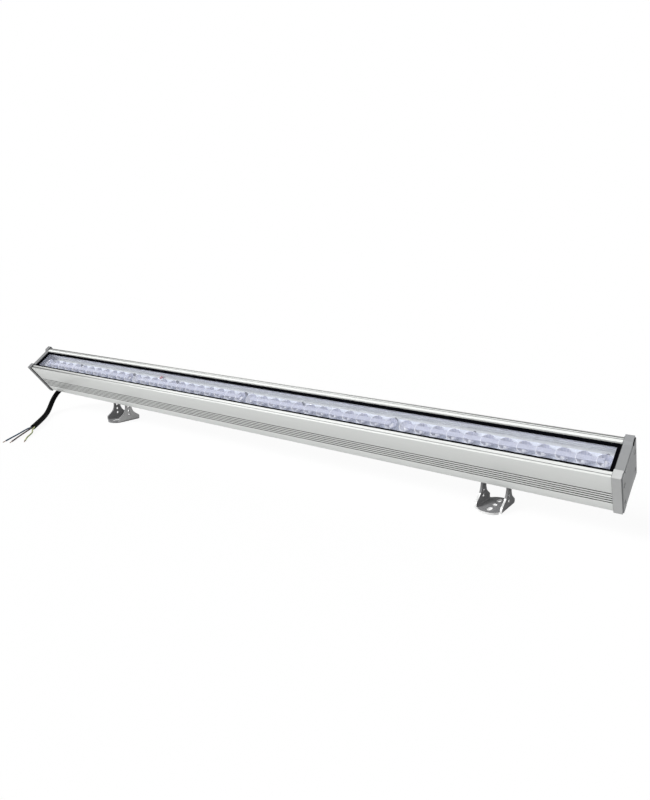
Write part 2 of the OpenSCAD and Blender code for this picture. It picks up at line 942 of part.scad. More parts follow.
module slot_plate(x, reach) {
    slab(
        [x - reach / 2, x + reach / 2],
        [mid_u - slot_width / 2 + side_gap, mid_u + slot_width / 2 - side_gap],
        [slot_v + side_gap, lip_v - side_gap]
    );
}
module cable_entry_foot() {
    color([0.12, 0.12, 0.12])
        in_head()
            difference() {
                union() {
                    slot_plate(entry_x, foot_length);
                    slab(
                        [entry_x - foot_length / 2, entry_x + foot_length / 2],
                        [mid_u - slot_mouth / 2 + side_gap, mid_u + slot_mouth / 2 - side_gap],
                        [slot_v + side_gap, foot_v]
                    );
                }
                post(entry_x, mid_u, [slot_v - overrun, foot_v + overrun], stub_d + 2 * fit);
            }
}
module entry_grommet() {
    color([0.15, 0.15, 0.15])
        in_head()
            difference() {
                post(entry_x, mid_u, [roof_v - slot_roof, roof_v], stub_d + 2 * slot_roof);
                post(entry_x, mid_u, [roof_v - slot_roof - overrun, roof_v + overrun],
                    2 * lead_spacing + 2 * conductor_d);
            }
}
module boot_sleeve() {
    start = boot_d / 2;
    finish = cord_d / 2 + boot_wall;
    step = sleeve_length / (2 * boot_rings + 1);
    rotate([90, 0, 0])
        rotate_extrude()
            polygon(concat(
                [[0, 0]],
                [
                    for (k = [0:2 * boot_rings])
                        let (
                            r0 = start + (finish - start) * k * step / sleeve_length,
                            r1 = start + (finish - start) * (k + 1) * step / sleeve_length,
                            dent = k % 2 == 1 ? ring_depth : 0
                        )
                        each [[r0 - dent, k * step], [r1 - dent, (k + 1) * step]]
                ],
                [[0, sleeve_length]]
            ));
}
module cable_boot() {
    color([0.06, 0.06, 0.06])
        in_head() {
            post(entry_x, mid_u, [roof_v, boot_v], stub_d);
            post(entry_x, mid_u, [foot_v, boot_v], boot_d);
            translate([entry_x, mid_u, -boot_v]) {
                sphere(d = boot_d);
                boot_sleeve();
            }
        }
}

module power_cable() {
    color([0.05, 0.05, 0.05])
        sweep_tube(straight_out(cable_route, 2), cord_d, 12);
}
function conductor_route(side, way) = let (
    across = unit(cross(cable_heading, [0, 0, 1])),
    start = cable_end + side * (conductor_d + side_gap) * across
) concat([start, start + cable_heading * conductor_d], way);
module blue_conductor() {
    color([0.1, 0.35, 0.65])
        sweep_tube(straight_out(conductor_route(1, blue_way), 3), conductor_d, 8);
}
module brown_conductor() {
    color([0.35, 0.18, 0.12])
        sweep_tube(straight_out(conductor_route(0, brown_way), 3), conductor_d, 8);
}
module earth_conductor() {
    color([0.7, 0.75, 0.2])
        sweep_tube(straight_out(conductor_route(-1, earth_way), 3), conductor_d, 8);
}
module bare_strands() {
    color([0.75, 0.5, 0.3])
        for (way = [blue_way, brown_way, earth_way]) {
            path = smooth(way, 3);
            n = len(path);
            wire_run(path[n - 1], path[n - 1] + heading(path, n - 1) * strand_length, strand_d);
        }
}

module slot_shoe(x) {
    pad_v = housing_height + side_gap;
    across = [x - lug_width / 2, x + lug_width / 2];
    difference() {
        union() {
            slot_plate(x, shoe_length);
            slab(
                across,
                [mid_u - slot_mouth / 2 + side_gap, mid_u + slot_mouth / 2 - side_gap],
                [slot_v + side_gap, pad_v + pad_height]
            );
            slab(across, [lug_front_u, mid_u], [pad_v, pad_v + pad_height]);
            slab(across, [lug_front_u, lug_front_u + 2 * lug_round], [pad_v, pivot_v]);
            rod(across, pivot_back, pivot_v, 2 * lug_round);
        }
        rod([across[0] - overrun, across[1] + overrun], pivot_back, pivot_v, pivot_d + 2 * fit);
        post(x, lock_u, [slot_v, pad_v + pad_height + overrun], lock_d + 2 * fit);
    }
}
module lock_screw(x) {
    seat_v = housing_height + side_gap + pad_height;
    difference() {
        union() {
            post(x, lock_u, [slot_v + side_gap, seat_v + lock_head_h / 2], lock_d);
            post(x, lock_u, [seat_v, seat_v + lock_head_h], lock_head_d);
        }
        translate([x, lock_u, -seat_v - lock_head_h - overrun])
            cylinder(d = lock_head_d / 2, h = overrun + lock_head_h / 2, $fn = 6);
    }
}
module left_slot_shoe() {
    color([0.5, 0.51, 0.53])
        in_head()
            slot_shoe(left_x);
}
module right_slot_shoe() {
    color([0.5, 0.51, 0.53])
        in_head()
            slot_shoe(right_x);
}
module left_lock_screw() {
    color([0.6, 0.6, 0.62])
        in_head()
            lock_screw(left_x);
}
module right_lock_screw() {
    color([0.6, 0.6, 0.62])
        in_head()
            lock_screw(right_x);
}

module round_box(width, height, r) {
    translate([-width / 2, r])
        square([width, height - r]);
    translate([r - width / 2, 0])
        square([width - 2 * r, height]);
    for (side = [-1, 1])
        translate([side * (width / 2 - r), r])
            circle(r = r);
}
module ear_outline() {
    flank = [for (point = ear_flank) [
        stem_half + point[1] * (base_half - stem_half),
        neck_rise - point[0] * (neck_rise - ear_foot)]];
    last = len(flank) - 1;
    polygon(concat(
        [[stem_half, pivot_height]],
        flank,
        [[base_half, 0], [-base_half, 0]],
        [for (k = [0:last]) [-flank[last - k][0], flank[last - k][1]]],
        [[-stem_half, pivot_height]]));
    translate([0, pivot_height])
        circle(r = stem_half);
}
module base_slot(y) {
    translate([0, y, -overrun]) {
        translate([-base_slot_width / 2, (base_slot_width - base_slot_length) / 2, 0])
            cube([base_slot_width, base_slot_length - base_slot_width, sheet + 2 * overrun]);
        for (side = [-1, 1])
            translate([0, side * (base_slot_length - base_slot_width) / 2, 0])
                cylinder(d = base_slot_width, h = sheet + 2 * overrun);
    }
}
module bracket(x) {
    tall = pivot_height + stem_half + overrun;
    flat_half = ear_outer / 2 - bend_inside - sheet;
    bulge_round = (flat_half ^ 2 + base_bulge ^ 2) / (2 * base_bulge);
    translate([x, pivot_y, 0])
        difference() {
            union() {
                intersection() {
                    rotate([90, 0, 0])
                        linear_extrude(2 * base_half, center = true)
                            difference() {
                                round_box(ear_outer, tall, bend_inside + sheet);
                                translate([0, sheet])
                                    round_box(ear_gap, tall, bend_inside);
                            }
                    translate([-ear_outer / 2 - overrun, 0, 0])
                        rotate([90, 0, 90])
                            linear_extrude(ear_outer + 2 * overrun)
                                ear_outline();
                }
                linear_extrude(sheet)
                    intersection() {
                        union()
                            for (side = [-1, 1])
                                translate([0, side * (back_reach - bulge_round)])
                                    circle(r = bulge_round);
                        translate([-flat_half, -back_reach])
                            square([2 * flat_half, 2 * back_reach]);
                    }
            }
            for (k = [0:ear_hole_count])
                translate([-ear_outer / 2 - overrun, 0, pivot_height - k * ear_hole_pitch])
                    rotate([0, 90, 0])
                        cylinder(d = pivot_d + 2 * fit, h = ear_outer + 2 * overrun);
            for (side = [-1, 1])
                base_slot(side * base_slot_spacing / 2);
            translate([0, 0, -overrun])
                cylinder(d = base_hole_d, h = sheet + 2 * overrun);
        }
}
module pivot_rod(x, d, sides) {
    translate([x[0], pivot_y, pivot_height])
        rotate([0, 90, 0])
            cylinder(d = d, h = x[1] - x[0], $fn = sides);
}
module pivot_bolt(x) {
    face = ear_outer / 2 + washer_t;
    difference() {
        union() {
            pivot_rod([x - face - pivot_nut_h - pivot_d / 4, x + face + pivot_head_h / 2],
                pivot_d, $fn);
            pivot_rod([x + face, x + face + pivot_head_h], pivot_head_d, $fn);
        }
        pivot_rod([x + face + pivot_head_h / 2, x + face + pivot_head_h + overrun],
            pivot_head_d / 2, 6);
    }
}
module pivot_nut(x) {
    start = x - ear_outer / 2 - washer_t - pivot_nut_h;
    difference() {
        pivot_rod([start, start + pivot_nut_h], 2 * pivot_d, 6);
        pivot_rod([start - overrun, start + pivot_nut_h + overrun], pivot_d + 2 * fit, $fn);
    }
}
module pivot_washers(x) {
    for (start = [x - ear_outer / 2 - washer_t, x + ear_outer / 2])
        difference() {
            pivot_rod([start, start + washer_t], washer_d, $fn);
            pivot_rod([start - overrun, start + washer_t + overrun], pivot_d + 2 * fit, $fn);
        }
}
module left_bracket() {
    color([0.42, 0.43, 0.44])
        bracket(left_x);
}
module right_bracket() {
    color([0.42, 0.43, 0.44])
        bracket(right_x);
}
module left_pivot_bolt() {
    color([0.6, 0.6, 0.62])
        pivot_bolt(left_x);
}
module right_pivot_bolt() {
    color([0.6, 0.6, 0.62])
        pivot_bolt(right_x);
}
module left_pivot_nut() {
    color([0.6, 0.6, 0.62])
        pivot_nut(left_x);
}
module right_pivot_nut() {
    color([0.6, 0.6, 0.62])
        pivot_nut(right_x);
}
module left_pivot_washers() {
    color([0.65, 0.65, 0.66])
        pivot_washers(left_x);
}
module right_pivot_washers() {
    color([0.65, 0.65, 0.66])
        pivot_washers(right_x);
}

housing_extrusion();
left_end_cap();
right_end_cap();
left_end_gasket();
right_end_gasket();
end_cap_screws();
cover_glass();
glass_seal();
glass_bed_gasket();
led_board_1();
led_board_2();
led_board_3();
led_board_4();
lens_strip_1();
lens_strip_2();
lens_strip_3();
lens_strip_4();
led_emitters();
board_screws();
board_links();
output_leads();
driver_tray();
driver_cover();
driver_board();
driver_transformer();
driver_capacitors();
terminal_block();
driver_screws();
supply_leads();
cable_entry_foot();
entry_grommet();
cable_boot();
power_cable();
blue_conductor();
brown_conductor();
earth_conductor();
bare_strands();
left_slot_shoe();
left_lock_screw();
left_bracket();
left_pivot_bolt();
left_pivot_nut();
left_pivot_washers();
right_slot_shoe();
right_lock_screw();
right_bracket();
right_pivot_bolt();
right_pivot_nut();
right_pivot_washers();
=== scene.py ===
# %% [markdown]
# # Dressing a linear wall washer light
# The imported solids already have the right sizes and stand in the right
# places. Blender's job is the looks: finer edges, the lens cups, the ribbed
# cable boot, the twisted copper, and a finish for every surface. This file is
# read from top to bottom as a lesson; each step says what the real piece is,
# how it could be made, and why one way was taken.

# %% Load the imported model
import json
import math

import bmesh
import bpy
import numpy as np
from mathutils import Matrix, Vector
from mathutils.geometry import tessellate_polygon


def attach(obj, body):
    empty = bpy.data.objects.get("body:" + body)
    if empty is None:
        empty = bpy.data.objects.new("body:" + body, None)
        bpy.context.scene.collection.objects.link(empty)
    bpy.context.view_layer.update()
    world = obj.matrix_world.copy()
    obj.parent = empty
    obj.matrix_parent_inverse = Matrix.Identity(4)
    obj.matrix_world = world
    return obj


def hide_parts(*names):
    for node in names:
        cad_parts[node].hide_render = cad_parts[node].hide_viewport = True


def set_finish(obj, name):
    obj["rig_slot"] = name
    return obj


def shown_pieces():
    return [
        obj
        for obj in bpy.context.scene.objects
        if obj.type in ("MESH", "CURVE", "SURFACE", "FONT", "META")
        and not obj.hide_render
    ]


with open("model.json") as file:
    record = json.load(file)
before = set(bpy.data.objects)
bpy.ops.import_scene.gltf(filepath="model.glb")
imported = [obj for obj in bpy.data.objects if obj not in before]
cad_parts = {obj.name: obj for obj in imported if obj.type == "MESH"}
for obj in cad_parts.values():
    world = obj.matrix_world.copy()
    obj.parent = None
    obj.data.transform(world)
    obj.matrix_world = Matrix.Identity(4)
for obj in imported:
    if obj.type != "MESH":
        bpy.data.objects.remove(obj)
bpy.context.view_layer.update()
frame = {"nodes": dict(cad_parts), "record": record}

# %% [markdown]
# ## Camera
# The camera comes first, because every later choice is judged through it. Its
# place and turn were worked out from the corners of the light in the
# photograph. A camera in Blender looks down its own -Z, so the matrix takes
# the right, the up and the backward direction as its columns.

# %% The camera
RIGHT = Vector((0.83239, 0.55399, 0.01460))
DOWN = Vector((0.16595, -0.22404, -0.96035))
FORWARD = Vector((-0.52875, 0.80181, -0.27843))
CAMERA_AT = (0.59692, -0.630976, 0.272248)
LENS_MM, SENSOR_MM = 28.078, 36
SHIFT_RIGHT, SHIFT_UP = -0.04375, 0.05
camera = bpy.data.objects.new("camera", bpy.data.cameras.new("camera"))
bpy.context.scene.collection.objects.link(camera)
turn = Matrix((RIGHT, -DOWN, -FORWARD)).transposed().to_4x4()
camera.matrix_world = Matrix.Translation(CAMERA_AT) @ turn
camera.data.lens, camera.data.sensor_width = LENS_MM, SENSOR_MM
camera.data.shift_x, camera.data.shift_y = SHIFT_RIGHT, SHIFT_UP
camera.data.clip_start = 0.02
bpy.context.scene.camera = camera
print("camera lens", camera.data.lens)

# %% [markdown]
# ## Two ways of giving a place
# The brackets stand level, so their pieces are given in the part's own
# millimetres. The light leans back in them by 37.1 degrees, so its pieces are
# given as x along it, u back across the glass and v down from its top. One
# function turns such a point into the part's frame.

# %% Places in the leaning light
MM = 0.001
LEAN = math.radians(37.1)
PIVOT_Y, PIVOT_Z = 15.4658, 32.3
PIVOT_U, PIVOT_V = 16.25, 71.65


def in_head(x, u, v):
    """Metres in the part's frame: (u, v) measured from the pivot, turned by
    the lean about X, then moved to the pivot's own place."""
    x, u, v = np.broadcast_arrays(*(np.asarray(a, float) for a in (x, u, v)))
    du, dv = u - PIVOT_U, v - PIVOT_V
    y = PIVOT_Y + du * math.cos(LEAN) + dv * math.sin(LEAN)
    z = PIVOT_Z + du * math.sin(LEAN) - dv * math.cos(LEAN)
    return np.stack([x, y, z], axis=-1) * MM


print("front top corner of the light", in_head(0, 0, 0).round(4))

# %% [markdown]
# ## Surfaces as arrays
# Nearly every piece is a grid of points: rings along a path, or the points of
# a profile carried round an axis. So one helper joins a grid into quads, and
# another makes an object of points and faces. A grid always closes round its
# columns, which gives a tube. Where it also closes from its last row to its
# first, it gives a frame or a ring without a seam.

# %% Helpers that turn arrays into pieces


def grid_faces(rows, cols, close_rows=False):
    """Quads between neighbours of a rows by cols grid, counted row by row."""
    r = np.arange(rows if close_rows else rows - 1)[:, None]
    c = np.arange(cols)[None, :]
    r2, c2 = (r + 1) % rows, (c + 1) % cols
    quads = np.stack([r * cols + c, r * cols + c2, r2 * cols + c2, r2 * cols + c], -1)
    return quads.reshape(-1, 4).tolist()


def piece(name, points, faces, sharp):
    """An object at the origin whose mesh holds the points, its faces turned
    outwards, smooth except over edges sharper than the given angle."""
    mesh = bpy.data.meshes.new(name)
    mesh.from_pydata(np.asarray(points, float).reshape(-1, 3).tolist(), [], faces)
    work = bmesh.new()
    work.from_mesh(mesh)
    bmesh.ops.recalc_face_normals(work, faces=work.faces)
    work.to_mesh(mesh)
    work.free()
    mesh.shade_smooth()
    mesh.set_sharp_from_angle(angle=math.radians(sharp))
    thing = bpy.data.objects.new(name, mesh)
    bpy.context.scene.collection.objects.link(thing)
    return thing


def joined(parts):
    """Several (points, faces) pairs as one pair, with face numbers moved on."""
    points, faces, count = [], [], 0
    for some, quads in parts:
        some = np.asarray(some, float).reshape(-1, 3)
        points.append(some)
        faces += [[n + count for n in face] for face in quads]
        count += len(some)
    return np.concatenate(points), faces


print("a tube of three rings of six points has", len(grid_faces(3, 6)), "side faces")

# %% [markdown]
# ## The cable and its conductors
# A black rubber lead leaves the boot at the left end, drops to the ground and
# lies along it. It ends bare: the sheath is cut back, and three conductors
# with stripped ends come out. A curve object with a bevel would do, but a
# swept tube made from arrays also knows how far round each point lies, which
# the yellow and green conductor needs for its stripes.

# %% The routes, in millimetres
CORD_D, CONDUCTOR_D = 8.0, 2.2
SHEATH = [[-482, 1.8131, 32.9452], [-482, -1.3773, 30.5323], [-481.1, -6.5, 26.4],
          [-477.6, -14.5, 20.2], [-472, -22, 14.9], [-465.1, -29.3, 10.8],
          [-457.6, -36.6, 7.8], [-449.7, -43.9, 5.9], [-441.7, -51.2, 4.8],
          [-433.7, -58.5, 4.2], [-425.7, -65.8, 4], [-409.7, -80.7, 4],
          [-394, -95.8, 4], [-378.5, -111, 4]]
WAYS = {
    "blue": (1, [[-374, -123, 4.4], [-360, -146, 3], [-346, -172, 1.1]]),
    "brown": (0, [[-368, -124, 4], [-352, -147, 2.4], [-336, -168, 1.1]]),
    "earth": (-1, [[-366, -119, 3.6], [-354, -127, 2.2], [-339, -143, 1.3],
                   [-324, -155, 1.1]]),
}


def unit(a):
    """Vectors scaled to length one along the last axis."""
    a = np.asarray(a, float)
    return a / np.linalg.norm(a, axis=-1, keepdims=True)


def smooth_path(points, steps):
    """A Catmull-Rom curve: each stretch is a cubic through its two points
    whose slopes follow the neighbours before and after."""
    p = np.asarray(points, float)
    p = np.concatenate([[2 * p[0] - p[1]], p, [2 * p[-1] - p[-2]]])
    a, b, c, d = (p[k:len(p) - 3 + k, None] for k in range(4))
    t = (np.arange(steps) / steps)[None, :, None]
    q = (b + t * (c - a) / 2 + t**2 * (2 * a - 5 * b + 4 * c - d) / 2
         + t**3 * (3 * b - a - 3 * c + d) / 2)
    return np.concatenate([q.reshape(-1, 3), p[-2:-1]])


def straight_out(points, steps):
    """The first stretch straight, the rest smooth."""
    return np.concatenate([[points[0]], smooth_path(points[1:], steps)])


def path_length(path):
    """Millimetres from one end of the path to the other."""
    return float(np.linalg.norm(np.diff(path, axis=0), axis=1).sum())


sheath_path = straight_out(SHEATH, 2)
print("sheath", len(sheath_path), "points", round(path_length(sheath_path), 1), "mm")

# %% A tube along a path


def tube(path, radius, sides):
    """Rings of a circle square to the path: centre + r (cos a * side +
    sin a * up), closed at both ends by a centre point."""
    path = np.asarray(path, float)
    heading = unit(np.gradient(path, axis=0))
    heading[0], heading[-1] = unit(path[1] - path[0]), unit(path[-1] - path[-2])
    side = unit(np.cross(heading, [0, 0, 1.0]))
    up = np.cross(side, heading)
    a = 2 * np.pi * np.arange(sides) / sides
    rings = path[:, None] + radius * (np.cos(a)[None, :, None] * side[:, None]
                                      + np.sin(a)[None, :, None] * up[:, None])
    rows = len(path)
    points = np.concatenate([rings.reshape(-1, 3), path[:1], path[-1:]])
    faces = grid_faces(rows, sides)
    k = np.arange(sides)
    first, last = k * 0 + rows * sides, (rows - 1) * sides
    faces += np.stack([(k + 1) % sides, k, first], -1).tolist()
    faces += np.stack([last + k, last + (k + 1) % sides, first + 1], -1).tolist()
    return points, faces


def mark(thing, name, values):
    """Keep one number for each point of the mesh, for the finish to read."""
    kept = thing.data.attributes.new(name, "FLOAT", "POINT")
    kept.data.foreach_set("value", np.asarray(values, np.float32))


def put(thing, slot, body, nodes):
    """Say what the piece takes its finish from, rides on and stands for."""
    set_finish(thing, slot)
    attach(thing, body)
    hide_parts(*nodes)


print("the bare tube of the sheath has", len(tube(sheath_path, CORD_D / 2, 24)[1]), "faces")

# %% The seven strands of a stripped end
STRANDS, STRAND_R, RING_R = 7, 0.2, 0.42
BARE_LENGTH, TWIST, SPLAY = 7, 2.2, 0.25


def strand_bundle(end, run):
    """Six strands twisted round a seventh. A strand's middle line is
    end + length s along the run + out (cos a * side + sin a * up): a grows
    with s by the twist, and out grows with the fourth power of s."""
    side = unit(np.cross(run, [0, 0, 1.0]))
    up = np.cross(side, run)
    s = np.linspace(0, 1, 13)
    copper = []
    for strand in range(STRANDS):
        a = strand * np.pi / 3 + s * TWIST
        out = RING_R * (strand < STRANDS - 1) * (1 + SPLAY * s**4)
        twisted = (end + (BARE_LENGTH * s)[:, None] * run + (out * np.cos(a))[:, None] * side
                   + (out * np.sin(a))[:, None] * up)
        copper.append(tube(twisted, STRAND_R, 6))
    return joined(copper)


print("strands", STRANDS, "each", 2 * STRAND_R, "mm thick, bare for", BARE_LENGTH, "mm")

# %% The sheath, the conductors and their stripped ends
WIRE_SLOT = {"blue": "wire_blue", "brown": "wire_brown", "earth": "wire_green_yellow"}
WIRE_SIDES, WIRE_GAP = 12, 0.15

points, faces = tube(sheath_path, CORD_D / 2, 24)
sheath = piece("cable_sheath", points * MM, faces, 50)
put(sheath, "black_rubber", "head", ["power_cable"])

along = unit(np.array(SHEATH[-1]) - SHEATH[-2])
across = unit(np.cross(along, [0, 0, 1.0]))
for name, (place, way) in WAYS.items():
    begin = np.array(SHEATH[-1]) + place * (CONDUCTOR_D + WIRE_GAP) * across
    path = straight_out([begin, begin + along * CONDUCTOR_D] + way, 5)
    points, faces = tube(path, CONDUCTOR_D / 2, WIRE_SIDES)
    wire = piece(name + "_insulation", points * MM, faces, 50)
    # Two stripes: in each half of a ring, two of the six points are green.
    in_stripe = np.arange(len(points)) % (WIRE_SIDES // 2) < 2
    mark(wire, "stripe", in_stripe * (name == "earth"))
    put(wire, WIRE_SLOT[name], "head", [name + "_conductor"])
    points, faces = strand_bundle(path[-1], unit(path[-1] - path[-2]))
    strands = piece(name + "_copper", points * MM, faces, 60)
    put(strands, "bare_copper", "head", ["bare_strands"])
    print(name, "conductor", round(path_length(path), 1), "mm")

# %% [markdown]
# ## The extruded housing
# The long body is one aluminium extrusion, so its shape is a flat section
# carried along x. The section is drawn once: the lands beside the glass with
# their two fine lines, the recess, the room of the lens row, the grooves down
# both sides, the T slot underneath, the driver's room and four screw ports.
# A die never makes a knife edge, so every corner gets a small round, which
# also catches the light as on the real thing.

# %% The section's corners, in millimetres of u and v
WIDTH, HEIGHT, END = 51.5, 57.0, 489.5
GROOVES = [27.3, 31.2, 35.1, 39.0, 42.9]
GROOVE_DEEP, GROOVE_UP, GROOVE_DOWN = 1.1, 0.3, 1.2
PORT_U, PORT_TOP, PORT_LOW = 5.25, 16.2, 44.8
BOSS_R, PORT_R = 3.5, 1.6


def boss(v, start, stop):
    """Points on the round of a screw port, from one angle to another."""
    a = np.radians(np.linspace(start, stop, 14))
    return np.stack([PORT_U + BOSS_R * np.cos(a), v + BOSS_R * np.sin(a)], -1).tolist()


def mirrored(points):
    """The same outline at the back of the section, in the other order."""
    return [[WIDTH - u, v] for u, v in points[::-1]]


def fine_line(u):
    """A shallow line drawn into the top, 0.7 wide and 0.4 deep."""
    return [[u - 0.35, 0], [u - 0.15, 0.4], [u + 0.15, 0.4], [u + 0.35, 0]]


optics_side = [[9.8, 9.4], [9.8, 11.2], [2.4, 11.2]] + boss(PORT_TOP, -144.5, 55.9)
front = [[0, HEIGHT]] + [
    corner for v in GROOVES[::-1]
    for corner in ([0, v + GROOVE_DOWN], [GROOVE_DEEP, v + GROOVE_DOWN],
                   [GROOVE_DEEP, v - GROOVE_UP], [0, v - GROOVE_UP])]
outline = (
    [[0, 0]] + fine_line(2.6) + [[6.2, 0], [6.35, 0], [7, 0], [7, 9.4]] + optics_side
    + mirrored(optics_side)
    + [[43, 9.4], [43, 0]] + fine_line(46.6) + fine_line(48.6) + [[49.5, 0], [WIDTH, 2]]
    + mirrored(front)
    + [[36.75, 57], [36.75, 55], [40.75, 55], [40.75, 51.7], [10.75, 51.7], [10.75, 55],
       [14.75, 55], [14.75, 57]]
    + front)
port_side = boss(PORT_LOW, 144.5, -144.5)
room = ([[2.4, 21.7], [WIDTH - 2.4, 21.7]] + mirrored(port_side)
        + [[WIDTH - 2.4, 49.7], [2.4, 49.7]] + port_side)
print("outline", len(outline), "corners, driver's room", len(room))

# %% Round the corners and carry the section along x


def rounded(corners, radius, steps=3):
    """Each corner P becomes a parabola from a point before it to one after
    it: (1-t)^2 A + 2t(1-t) P + t^2 B, with A and B a radius away from P, or
    a third of the way to the next corner if that is nearer."""
    p = np.asarray(corners, float)
    before, after = np.roll(p, 1, 0) - p, np.roll(p, -1, 0) - p
    lb = np.linalg.norm(before, axis=1, keepdims=True)
    la = np.linalg.norm(after, axis=1, keepdims=True)
    r = np.broadcast_to(np.asarray(radius, float), (len(p),))[:, None]
    a = p + before / lb * np.minimum(r, lb / 3)
    b = p + after / la * np.minimum(r, la / 3)
    t = np.linspace(0, 1, steps + 1)[None, :, None]
    return ((1 - t)**2 * a[:, None] + 2 * t * (1 - t) * p[:, None]
            + t**2 * b[:, None]).reshape(-1, 2)


def extrusion(loops, stations):
    """Side walls from each x to the next for each loop, and the two ends
    filled with triangles that leave the inner loops open."""
    parts, flat, base, step = [], [], [], []
    for loop in loops:
        n, rows = len(loop), len(stations)
        walls = np.stack([in_head(x, loop[:, 0], loop[:, 1]) for x in stations])
        flat.append([Vector((u, v, 0)) for u, v in loop])
        base.append(np.arange(n) + sum(points.size // 3 for points, _ in parts))
        step.append(np.full(n, n * (rows - 1)))
        parts.append((walls, grid_faces(rows, n)))
    fill = np.array([tri[:3] for tri in tessellate_polygon(flat)])
    base, step = np.concatenate(base), np.concatenate(step)
    points, faces = joined(parts)
    faces += base[fill].tolist() + (base + step)[fill][:, ::-1].tolist()
    return points, faces


FRONT_ROUND, EDGE_ROUND, ROOM_ROUND = 0.9, 0.2, 0.25
STATIONS = [-END, -460, -400, -300, -150, 0, 150, 300, END]
corner_round = np.full(len(outline), EDGE_ROUND)
corner_round[0] = FRONT_ROUND
loops = [rounded(outline, corner_round), rounded(room, ROOM_ROUND)]
circle = 2 * np.pi * np.arange(24) / 24
for v in (PORT_TOP, PORT_LOW):
    for u in (PORT_U, WIDTH - PORT_U):
        loops.append(np.stack([u + PORT_R * np.cos(circle), v + PORT_R * np.sin(circle)], -1))
housing = piece("housing_section", *extrusion(loops, STATIONS), 32)
put(housing, "anodised_aluminium", "head", ["housing_extrusion"])
print("housing", len(housing.data.polygons), "faces at", len(STATIONS), "stations")

# %% [markdown]
# ## Painted shade: dark lines and lands that darken
# Anodised aluminium is one colour. The shade in its grooves and fine lines, a
# shadow at the seal's edge and the lands growing darker towards the left end
# are painted into its colour here. All of it could be lamps and painted
# textures. Here each point of the section keeps one number, from 0 for plain
# metal to 1 for black painted shade, and the lands' share of it changes from
# station to station.

# %% How much painted shade each point of the housing takes
FRONT_SHADE = [0.9, 0.85, 0.75, 0.45, 0.15, 0.1, 0.1, 0.2, 0.2]
BACK_SHADE = [1.5, 1.4, 1.2, 0.85, 0.5, 0.45, 0.5, 0.75, 0.8]
LINE_BLACK = 0.2       # this deep, in millimetres, a line is fully black
# painted shade: grooves, fine lines, the seal's edge and the lands are darkened as shade would
# darken them
deep = []
for loop in loops:
    u, v = loop.T
    side = np.minimum(u, WIDTH - u)
    groove = np.where((v > 26) & (v < 45) & (side < 1.2), side / LINE_BLACK, 0)
    front_line = np.where((v < 0.41) & (u > 2) & (u < 7), v / LINE_BLACK, 0)
    front_land = np.interp(u, [0, 0.9, 2.2, 3, 7], [0.2, 0.8, 1, 1, 0]) * (v < 0.85)
    # painted shadow: the land's strip next to the recess goes black, as the seal's edge would shade
    # it
    seal_edge_shadow = (u > 6.3) & (u < 7.1) & (v < 1)
    back_line = np.where((v < 0.41) & (u > 46) & (u < 49.2), v / LINE_BLACK, 0)
    back_land = np.where((u > 46.2) & (v < 2.5), 0.3 + 0.6 * (u > 48.2), 0)
    for front_part, back_part in zip(FRONT_SHADE, BACK_SHADE):
        value = (groove + 0.6 * front_line + seal_edge_shadow + front_part * front_land
                 + back_part * (0.7 * back_line + back_land))
        deep.append(np.clip(value, 0, 1))
mark(housing, "hollow", np.concatenate(deep))
print("points marked", sum(len(values) for values in deep))

# %% [markdown]
# ## Seal, glass and bed gasket
# The glass lies in the recess on a thin gasket and is held by a black seal
# whose inner edge is all that shows. A seal of this kind is a section carried
# round a rectangle, so every point of the section becomes a rectangle that is
# set in by that point's own distance. At the short ends this distance is
# multiplied by a share, because the bands there have a width of their own.

# %% Frames and plates from stacked rectangles


def rectangles(x, u, inset, inset_x, v):
    """One rectangle of four corners for each step, at the depth v: its sides
    lie at x0 + inset_x, x1 - inset_x, u0 + inset and u1 - inset."""
    inset, inset_x, v = (np.asarray(a, float)[:, None] for a in (inset, inset_x, v))
    xs = np.concatenate([x[0] + inset_x, x[1] - inset_x, x[1] - inset_x, x[0] + inset_x], 1)
    us = np.concatenate([u[0] + inset, u[0] + inset, u[1] - inset, u[1] - inset], 1)
    return in_head(xs, us, v)


def frame_ring(x, u, section, end_share):
    """The section (inset, depth) carried round the rectangle and closed."""
    section = np.asarray(section, float)
    rings = rectangles(x, u, section[:, 0], section[:, 0] * end_share, section[:, 1])
    return rings, grid_faces(len(section), 4, close_rows=True)


def plate(x, u, v, r):
    """A plate with rounded edges: rectangles set in by r (1 - sin a) while
    the depth moves by r (1 - cos a), top and bottom, closed by two faces."""
    a = np.radians([0, 30, 60, 90])
    inset = r * np.concatenate([1 - np.sin(a), (1 - np.sin(a))[::-1]])
    depth = np.concatenate([v[0] + r * (1 - np.cos(a)), v[1] - r * (1 - np.cos(a))[::-1]])
    rings = rectangles(x, u, inset, inset, depth)
    faces = grid_faces(len(inset), 4)
    last = 4 * (len(inset) - 1)
    return rings, faces + [[0, 1, 2, 3], [last, last + 1, last + 2, last + 3]]


GLAZED_U, GLAZED_X = (7.1, 42.9), (-END, END)
SEAL_ENDS, BED_ENDS, END_GAP = 1.1, 2 / 2.8, 0.1
seal_section = rounded([[0, 4.6], [0, 2.2], [3.5, 2.2], [3.5, 4.6]], [0.1, 0.3, 0.6, 0.2], 4)
seal = piece("glazing_seal", *frame_ring(GLAZED_X, GLAZED_U, seal_section, SEAL_ENDS), 40)
put(seal, "black_seal", "head", ["glass_seal"])
bed_section = rounded([[0, 9.4], [0, 8.6], [2.8, 8.6], [2.8, 9.4]], 0.2)
bed = piece("glazing_bed", *frame_ring(GLAZED_X, GLAZED_U, bed_section, BED_ENDS), 40)
put(bed, "black_seal", "head", ["glass_bed_gasket"])
pane = plate((END_GAP - END, END - END_GAP), GLAZED_U, (4.6, 8.6), 0.4)
glass = piece("cover_glass_pane", *pane, 40)
put(glass, "cover_glass", "head", ["cover_glass"])
print("seal", len(seal.data.polygons), "faces, glass", len(glass.data.polygons))
